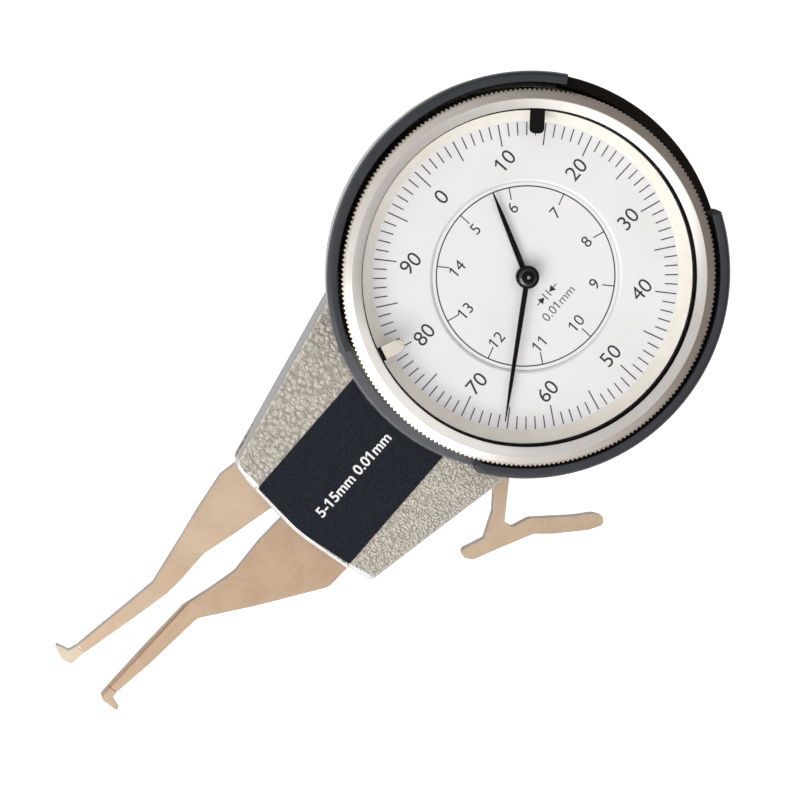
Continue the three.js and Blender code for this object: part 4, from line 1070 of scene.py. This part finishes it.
# ------------------------------------------------------------------ return spring
def return_spring():
    """Coil round the pivot boss; in the gauge its lower leg goes with the moving arm, here the coil is baked in place.
    """
    r = 4.35
    leg_a = polar(12.4, 8.5, PIVOT)
    begin = 8.5 + math.degrees(math.acos(r / 12.4))
    end = 116.0 - math.degrees(math.acos(r / 14.0))
    total = 1080 + (end - begin)
    path = [(*leg_a, 8.62)]
    first = polar(r, begin, PIVOT)
    for k in range(1, 6):
        t = k / 6
        path.append((leg_a[0] + (first[0] - leg_a[0]) * t, leg_a[1] + (first[1] - leg_a[1]) * t, 8.62 + 0.03 * t))
    n = 160
    for i in range(n + 1):
        path.append((*polar(r, begin + total * i / n, PIVOT), 8.65 + 1.55 * i / n))
    leg_b = polar(14.0, 116.0, PIVOT)
    last = path[-1]
    for k in range(1, 7):
        t = k / 6
        path.append((last[0] + (leg_b[0] - last[0]) * t, last[1] + (leg_b[1] - last[1]) * t, 10.2 + 0.02 * t))
    bm = bmesh.new()
    rings = []
    pts = [Vector(p) for p in path]
    for i, p in enumerate(pts):
        tan = (pts[min(i + 1, len(pts) - 1)] - pts[max(i - 1, 0)]).normalized()
        side = tan.cross(Vector((0, 0, 1))).normalized()
        up = side.cross(tan)
        rings.append([tuple(p + side * 0.24 * math.cos(rad(45 * k)) + up * 0.24 * math.sin(rad(45 * k))) for k in range(8)])
    add_rings(bm, rings)
    ob = mesh_object("return_spring_detail", bm)
    ob.data.materials.append(SPRING)
    ob.data.shade_smooth()
    ob.data.set_sharp_from_angle(angle=rad(60))
    [v * MM for v in (*polar(5.0, 8.5, PIVOT), 8.6)]
    [v * MM for v in (*polar(10.5, 8.5, PIVOT), 8.6)]
    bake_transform(ob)
    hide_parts("return_spring")


return_spring()

# ------------------------------------------------------------------ dial
ZERO = 88.27  # angle of the outer scale's 0 mark
Z_IN, Z_OUT = 16.7, 17.2


def dials():
    inner = lathe(
        "inner_dial_detail",
        [(1.7, 15.9), (7.0, 15.9), (7.0, 13.4), (9.0, 13.4), (9.0, 15.9), (15.86, 15.9), (15.86, 16.62), (15.78, 16.7), (1.78, 16.7), (1.7, 16.62)],
        180,
    )
    finish_piece(inner, DIAL, "housing", ["inner_dial"])
    outer = lathe(
        "outer_dial_detail",
        [(15.9, 16.4), (29.1, 16.4), (29.1, 17.2), (16.42, 17.2), (16.3, 17.15), (15.93, 16.8), (15.9, 16.72)],
        240,
    )
    finish_piece(outer, DIAL, "bezel", ["outer_dial_ring"])
    bm = bmesh.new()
    for i in range(100):
        long = i % 5 == 0
        put_tick(bm, ZERO - 3.6 * i, 25.85 - (3.7 if long else 2.2), 25.85, 0.2 if long else 0.19, Z_OUT)
    for k in range(10):
        x, y = polar(19.75, ZERO - 36.0 * k)
        put_text(bm, str(10 * k), 2.55, x, y, Z_OUT, 0.0, -0.002)
    outer_print = mesh_object("outer_scale_print", bm)
    finish_piece(outer_print, DIAL_INK, "bezel", smooth=False)
    bm = bmesh.new()
    put_ring(bm, 15.06, 15.27, Z_IN)
    for k in range(10):
        a = 88.5 - 36.0 * k
        put_tick(bm, a, 13.1, 15.12, 0.18, Z_IN)
        x, y = polar(11.75, a)
        put_text(bm, str(5 + k), 1.95, x, y, Z_IN, 0.0, -0.002)
    inner_marks(bm)
    inner_print = mesh_object("inner_scale_print", bm)
    finish_piece(inner_print, DIAL_INK, "housing", smooth=False)


def inner_marks(bm):
    """The arrow-and-bars symbol and the graduation value beside the centre."""
    cx, cy = 0.0, -4.75
    heads = bmesh.new()
    for side in (-1, 1):
        bar = cx + side * 0.42
        put_quad(bm, [(bar - 0.09, cy - 0.69), (bar + 0.09, cy - 0.69), (bar + 0.09, cy + 0.69), (bar - 0.09, cy + 0.69)], Z_IN)
        tip = cx + side * 0.62
        root = cx + side * 1.65
        put_quad(heads, [(tip, cy), (root, cy - 0.62), (root, cy + 0.62)], Z_IN)
        end = cx + side * 2.42
        lo, hi = min(root, end), max(root, end)
        put_quad(bm, [(lo, cy - 0.08), (hi, cy - 0.08), (hi, cy + 0.08), (lo, cy + 0.08)], Z_IN)
    put_text(bm, "0.01mm", 1.55, 0.2, -7.2, Z_IN, 0.0, -0.008)
    arrows = mesh_object("inner_arrow_print", heads)
    finish_piece(arrows, BLACK_INK, "housing", smooth=False)


dials()

# ------------------------------------------------------------------ spacer, glass
spacer = lathe(
    "crystal_spacer_detail",
    [(26.05, 17.2), (29.0, 17.2), (29.0, 19.7), (28.2, 19.7), (27.95, 19.35), (27.91, 19.3)],
    240,
)
finish_piece(spacer, [CREAM, SEAT_SHADE], "bezel", ["crystal_spacer_ring"])
# painted shade: the seat's top and chamfer under the crystal's edge are black
paint_faces(spacer, 1, lambda c, n: n.z > 0.4 and math.hypot(c.x, c.y) > 27.92)
crystal = lathe("crystal_detail", [(0, 19.7), (29.1, 19.7), (29.1, 20.4), (0, 20.4)], 180)
finish_piece(crystal, [GLASS, GLASS_INNER], "bezel", ["crystal"])
paint_faces(crystal, 1, lambda c, n: n.z < 0.5)


# ------------------------------------------------------------------ bezel
def bezel():
    teeth = 246
    slope = (21.75 - 20.95) / (31.6 - 29.9)
    depth = 0.36
    tip, root = 31.6, 31.6 - depth
    # rows: (radius at a tooth's tip, height) and (radius at its root, height)
    rows = [
        ((29.3, 14.4), None),
        ((31.0, 14.4), None),
        ((31.25, 14.5), None),
        ((tip - 0.04, 14.86), (root, 14.6)),
        ((tip, 14.98), (root, 14.98)),
        ((tip, 20.95), (root, 20.95 + depth * slope)),
        ((31.1, 20.95 + 0.5 * slope), None),
        ((30.02, 21.69), None),
        ((29.93, 21.73), None),
        ((29.82, 21.733), None),
        ((28.42, 21.44), None),
        ((28.33, 21.41), None),
        ((28.29, 21.34), None),
        ((28.29, 20.95), None),
        ((28.95, 20.95), None),
        ((28.95, 20.4), None),
        ((29.3, 20.4), None),
        ((29.3, 16.4), None),
        ((29.85, 16.4), None),
        ((29.85, 15.88), None),
        ((29.3, 15.88), None),
        ((29.3, 15.45), None),
        ((29.8, 15.45), None),
        ((29.8, 14.8), None),
        ((29.3, 14.8), None),
    ]
    bm = bmesh.new()
    n = teeth * 3
    made = []
    for crest, valley in rows:
        ring = []
        for i in range(n):
            k = i % 3
            # root, tip, tip: narrow crests between V grooves
            part = (i // 3) + (0.0, 0.44, 0.56)[k]
            a = 360.0 * part / teeth
            r, z = valley if (valley and k == 0) else crest
            ring.append(bm.verts.new(Vector((*polar(r, a), z)) * MM))
        made.append(ring)
    for q in range(len(made)):
        a, b = made[q - 1], made[q]
        for i in range(n):
            j = (i + 1) % n
            bm.faces.new((a[i], a[j], b[j], b[i]))
    ob = mesh_object("bezel_detail", bm)
    finish_piece(ob, [CHROME, KNURL, SEAT_SHADE], "bezel", ["bezel"], sharp=10.0)
    paint_faces(ob, 1, lambda c, nn: math.hypot(c.x, c.y) > 31.2 and 14.55 < c.z < 21.15)
    # painted shade: the lip's inner wall and the groove walls under it are black
    paint_faces(ob, 2, lambda c, nn: math.hypot(c.x, c.y) < 28.6 and c.z < 21.35 and nn.z < 0.5)


bezel()


# ------------------------------------------------------------------ tolerance markers
def marker(name, node, a, pointed, material, body):
    def at(r, t):
        co, si = math.cos(rad(a)), math.sin(rad(a))
        return (r * co - t * si, r * si + t * co)

    w = 1.25
    if pointed:
        w = 1.18
        tipp = [(*at(24.75, -w), 0.05), (*at(23.65, -0.55), 0.05), (*at(23.65, 0.55), 0.05), (*at(24.75, w), 0.05)]
    else:
        tipp = [(*at(24.1, -w), 1.0), (*at(24.1, w), 1.0)]
    outline = rounded(
        tipp + [
            (*at(28.2, w), 0), (*polar(28.45, a + 3.2), 0), (*polar(28.75, a + 4.6), 0), (*polar(28.75, a + 1.5), 0),
            (*polar(28.75, a - 1.5), 0), (*polar(28.75, a - 4.6), 0), (*polar(28.45, a - 3.2), 0), (*at(28.2, -w), 0),
        ], 8)
    ob = prism(name, outline, levels(20.5, 20.85, 0.05, 0.12, 2))
    finish_piece(ob, [material, MARK_SIDE_SHADE], body, [node])
    if pointed:
        # painted shade: the pale marker's side walls take the dark copy
        side_faces(ob)
        # painted shade: a black block over the marker's end where it runs under the lip, standing for the shade there
        root = prism(name + "_root", [at(27.4, -w - 0.01), at(28.15, -w - 0.01), at(28.15, w + 0.01), at(27.4, w + 0.01)],
                     levels(20.49, 20.86, 0.02, 0.02, 1))
        finish_piece(root, MARK_BLACK_AND_SHADE, body)


marker("dark_marker_detail", "tolerance_marker_dark", 38.9, False, MARK_BLACK_AND_SHADE, "dark_marker")
marker("pale_marker_detail", "tolerance_marker_pale", 157.8, True, MARK_PALE, "pale_marker")


# ------------------------------------------------------------------ hands
def hand(name, node, angle, length, w_root, w_tip, z0, z1, hub, bore, body):
    bm = bmesh.new()
    co, si = math.cos(rad(angle)), math.sin(rad(angle))

    def at(l, t):
        return (l * co - t * si, l * si + t * co)

    start = hub[0][0] - 0.25
    half = [(start, w_root / 2), (length * 0.3, w_root * 0.47), (length * 0.75, (w_root * 0.3 + w_tip * 0.2)), (length - 0.15, w_tip / 2), (length, w_tip * 0.2)]
    outline = [at(l, -t) for l, t in half] + [at(l, t) for l, t in half[::-1]]
    add_prism(bm, outline, [(0.0, z0), (0.0, (z0 + z1) / 2), (min(0.1, w_tip * 0.3), z1)])
    lathe("", hub + [(bore, hub[-1][1]), (bore, hub[0][1])], 72, bm=bm)
    ob = mesh_object(name, bm)
    finish_piece(ob, [BLACK, BLACK_GLOSS], body, [node])
    paint_faces(ob, 1, lambda c, n: 1.06 < math.hypot(c.x, c.y) < 1.54 and 0.8 < n.z < 0.98 and c.z > 19.0)


hand("short_hand_detail", "short_hand", 112.3 - 48.8, 15.2, 1.0, 0.24, 17.45, 17.72,
     [(1.65, 17.45), (1.75, 17.5), (1.75, 17.7), (1.7, 17.75), (1.4, 17.75)], 1.3, "short_hand")
hand("long_hand_detail", "long_hand", 261.6 - 48.8, 24.6, 0.9, 0.18, 18.25, 18.5,
     [(1.85, 18.25), (1.95, 18.33), (1.95, 18.75), (1.91, 18.86), (1.78, 18.95), (1.62, 19.01), (1.52, 19.05), (1.3, 19.162),
      (1.08, 19.274), (1.0, 19.305), (0.9, 19.325), (0.76, 19.33), (0.72, 19.5), (0.65, 19.55),
      (0.34, 19.56), (0.28, 19.52)], 0.27, "centre_arbor")

# ------------------------------------------------------------------ finishes of the carried-over CAD nodes
FINISH = {
    BRASS: ["pivot_bush", "sector_gear", "first_wheel", "short_hand_pipe_wheel", "take_up_wheel", "transfer_gear",
            "hairspring_stud", "movement_plate_rear", "movement_plate_front", "pillar_1", "pillar_2", "pillar_3"],
    STEEL: ["fixed_arm_dowel", "pivot_axle", "stop_pin_open", "stop_pin_closed", "sector_screw_1", "sector_screw_2",
            "spring_drive_pin", "spring_anchor_pin", "first_pinion_arbor", "centre_pinion_arbor", "take_up_arbor",
            "pillar_screw_1", "pillar_screw_2", "pillar_screw_3", "plate_screw_1", "plate_screw_2", "plate_screw_3",
            "dial_retaining_ring"],
    SPRING: ["hairspring", "bezel_friction_spring"],
}
for material, names in FINISH.items():
    for name in names:
        ob = nodes[name]
        if not ob.material_slots:
            ob.data.materials.append(material)
        for s in ob.material_slots:
            s.material = material


# ------------------------------------------------------------------ floor, lights
def floor():
    me = bpy.data.meshes.new("floor")
    s = 3.0
    me.from_pydata([(-s, -s, -0.0002), (s, -s, -0.0002), (s, s, -0.0002), (-s, s, -0.0002)], [], [(0, 1, 2, 3)])
    ob = bpy.data.objects.new("floor", me)
    bpy.context.scene.collection.objects.link(ob)
    m = bpy.data.materials.new("floor_paper")
    m.use_nodes = True
    p = m.node_tree.nodes["Principled BSDF"]
    p.inputs["Base Color"].default_value = (0.8, 0.8, 0.8, 1.0)
    p.inputs["Roughness"].default_value = 0.9
    p.inputs["Emission Color"].default_value = (1.0, 1.0, 1.0, 1.0)
    p.inputs["Emission Strength"].default_value = 0.75
    ob.data.materials.append(m)


floor()


def area(name, azimuth, elevation, distance, w, h, power, colour=(1.0, 1.0, 1.0), aim=(-0.02, 0.0, 0.01)):
    data = bpy.data.lights.new(name, "AREA")
    data.shape = "RECTANGLE"
    data.size, data.size_y = w, h
    data.energy = power
    data.color = colour
    ob = bpy.data.objects.new(name, data)
    a, e = rad(azimuth), rad(elevation)
    d = Vector((math.cos(a) * math.cos(e), math.sin(a) * math.cos(e), math.sin(e)))
    ob.location = Vector(aim) + d * distance
    ob.rotation_mode = "QUATERNION"
    ob.rotation_quaternion = d.to_track_quat("Z", "Y")
    bpy.context.scene.collection.objects.link(ob)


area("key", 172.0, 42.0, 0.9, 0.55, 0.5, 2.9, (1.0, 0.985, 0.96))
area("low_key", 170.0, 14.0, 0.85, 0.7, 0.26, 0.4, (1.0, 0.985, 0.96))
area("top", 200.0, 65.0, 1.1, 0.7, 0.5, 0.95, (1.0, 0.99, 0.98))
area("fill", 335.0, 62.0, 1.1, 0.5, 0.4, 0.35, (0.98, 0.99, 1.0))
area("strip", 192.0, 37.0, 0.9, 0.62, 0.09, 1.15, (1.0, 0.99, 0.97))


def world():
    w = bpy.data.worlds.new("studio")
    bpy.context.scene.world = w
    w.use_nodes = True
    t = w.node_tree
    t.nodes.clear()
    out = t.nodes.new("ShaderNodeOutputWorld")
    back = t.nodes.new("ShaderNodeBackground")
    co = t.nodes.new("ShaderNodeTexCoord")
    # brighter towards the key light's side, dimmer overhead
    dot = t.nodes.new("ShaderNodeVectorMath")
    dot.operation = "DOT_PRODUCT"
    a = rad(160.0)
    dot.inputs[1].default_value = (math.cos(a), math.sin(a), 0.0)
    scale = t.nodes.new("ShaderNodeMapRange")
    scale.inputs[1].default_value = -1.0
    scale.inputs[2].default_value = 1.0
    ramp = t.nodes.new("ShaderNodeValToRGB")
    els = ramp.color_ramp.elements
    els[0].position, els[0].color = 0.0, (0.22, 0.195, 0.175, 1.0)
    els[1].position, els[1].color = 1.0, (1.3, 1.28, 1.25, 1.0)
    for pos, col in ((0.12, (0.25, 0.22, 0.2)), (0.265, (0.3, 0.265, 0.235)), (0.33, (0.44, 0.405, 0.385)), (0.56, (0.8, 0.765, 0.725)), (0.8, (1.12, 1.1, 1.07))):
        els.new(pos).color = (*col, 1.0)
    sep = t.nodes.new("ShaderNodeSeparateXYZ")
    height = t.nodes.new("ShaderNodeMapRange")
    height.interpolation_type = "SMOOTHSTEP"
    height.inputs[1].default_value = 0.6
    height.inputs[2].default_value = 0.92
    over = t.nodes.new("ShaderNodeMix")
    over.data_type = "RGBA"
    over.inputs[7].default_value = (0.72, 0.715, 0.71, 1.0)
    t.links.new(co.outputs["Generated"], dot.inputs[0])
    t.links.new(co.outputs["Generated"], sep.inputs[0])
    t.links.new(dot.outputs["Value"], scale.inputs[0])
    t.links.new(scale.outputs[0], ramp.inputs[0])
    t.links.new(sep.outputs[2], height.inputs[0])
    t.links.new(height.outputs[0], over.inputs[0])
    t.links.new(ramp.outputs[0], over.inputs[6])
    t.links.new(over.outputs[2], back.inputs["Color"])
    back.inputs["Strength"].default_value = 1.0
    t.links.new(back.outputs[0], out.inputs["Surface"])


world()
scene = bpy.context.scene
scene.view_settings.view_transform = "Standard"
scene.view_settings.look = "None"
scene.view_settings.exposure = 0.0
scene.view_settings.gamma = 1.0
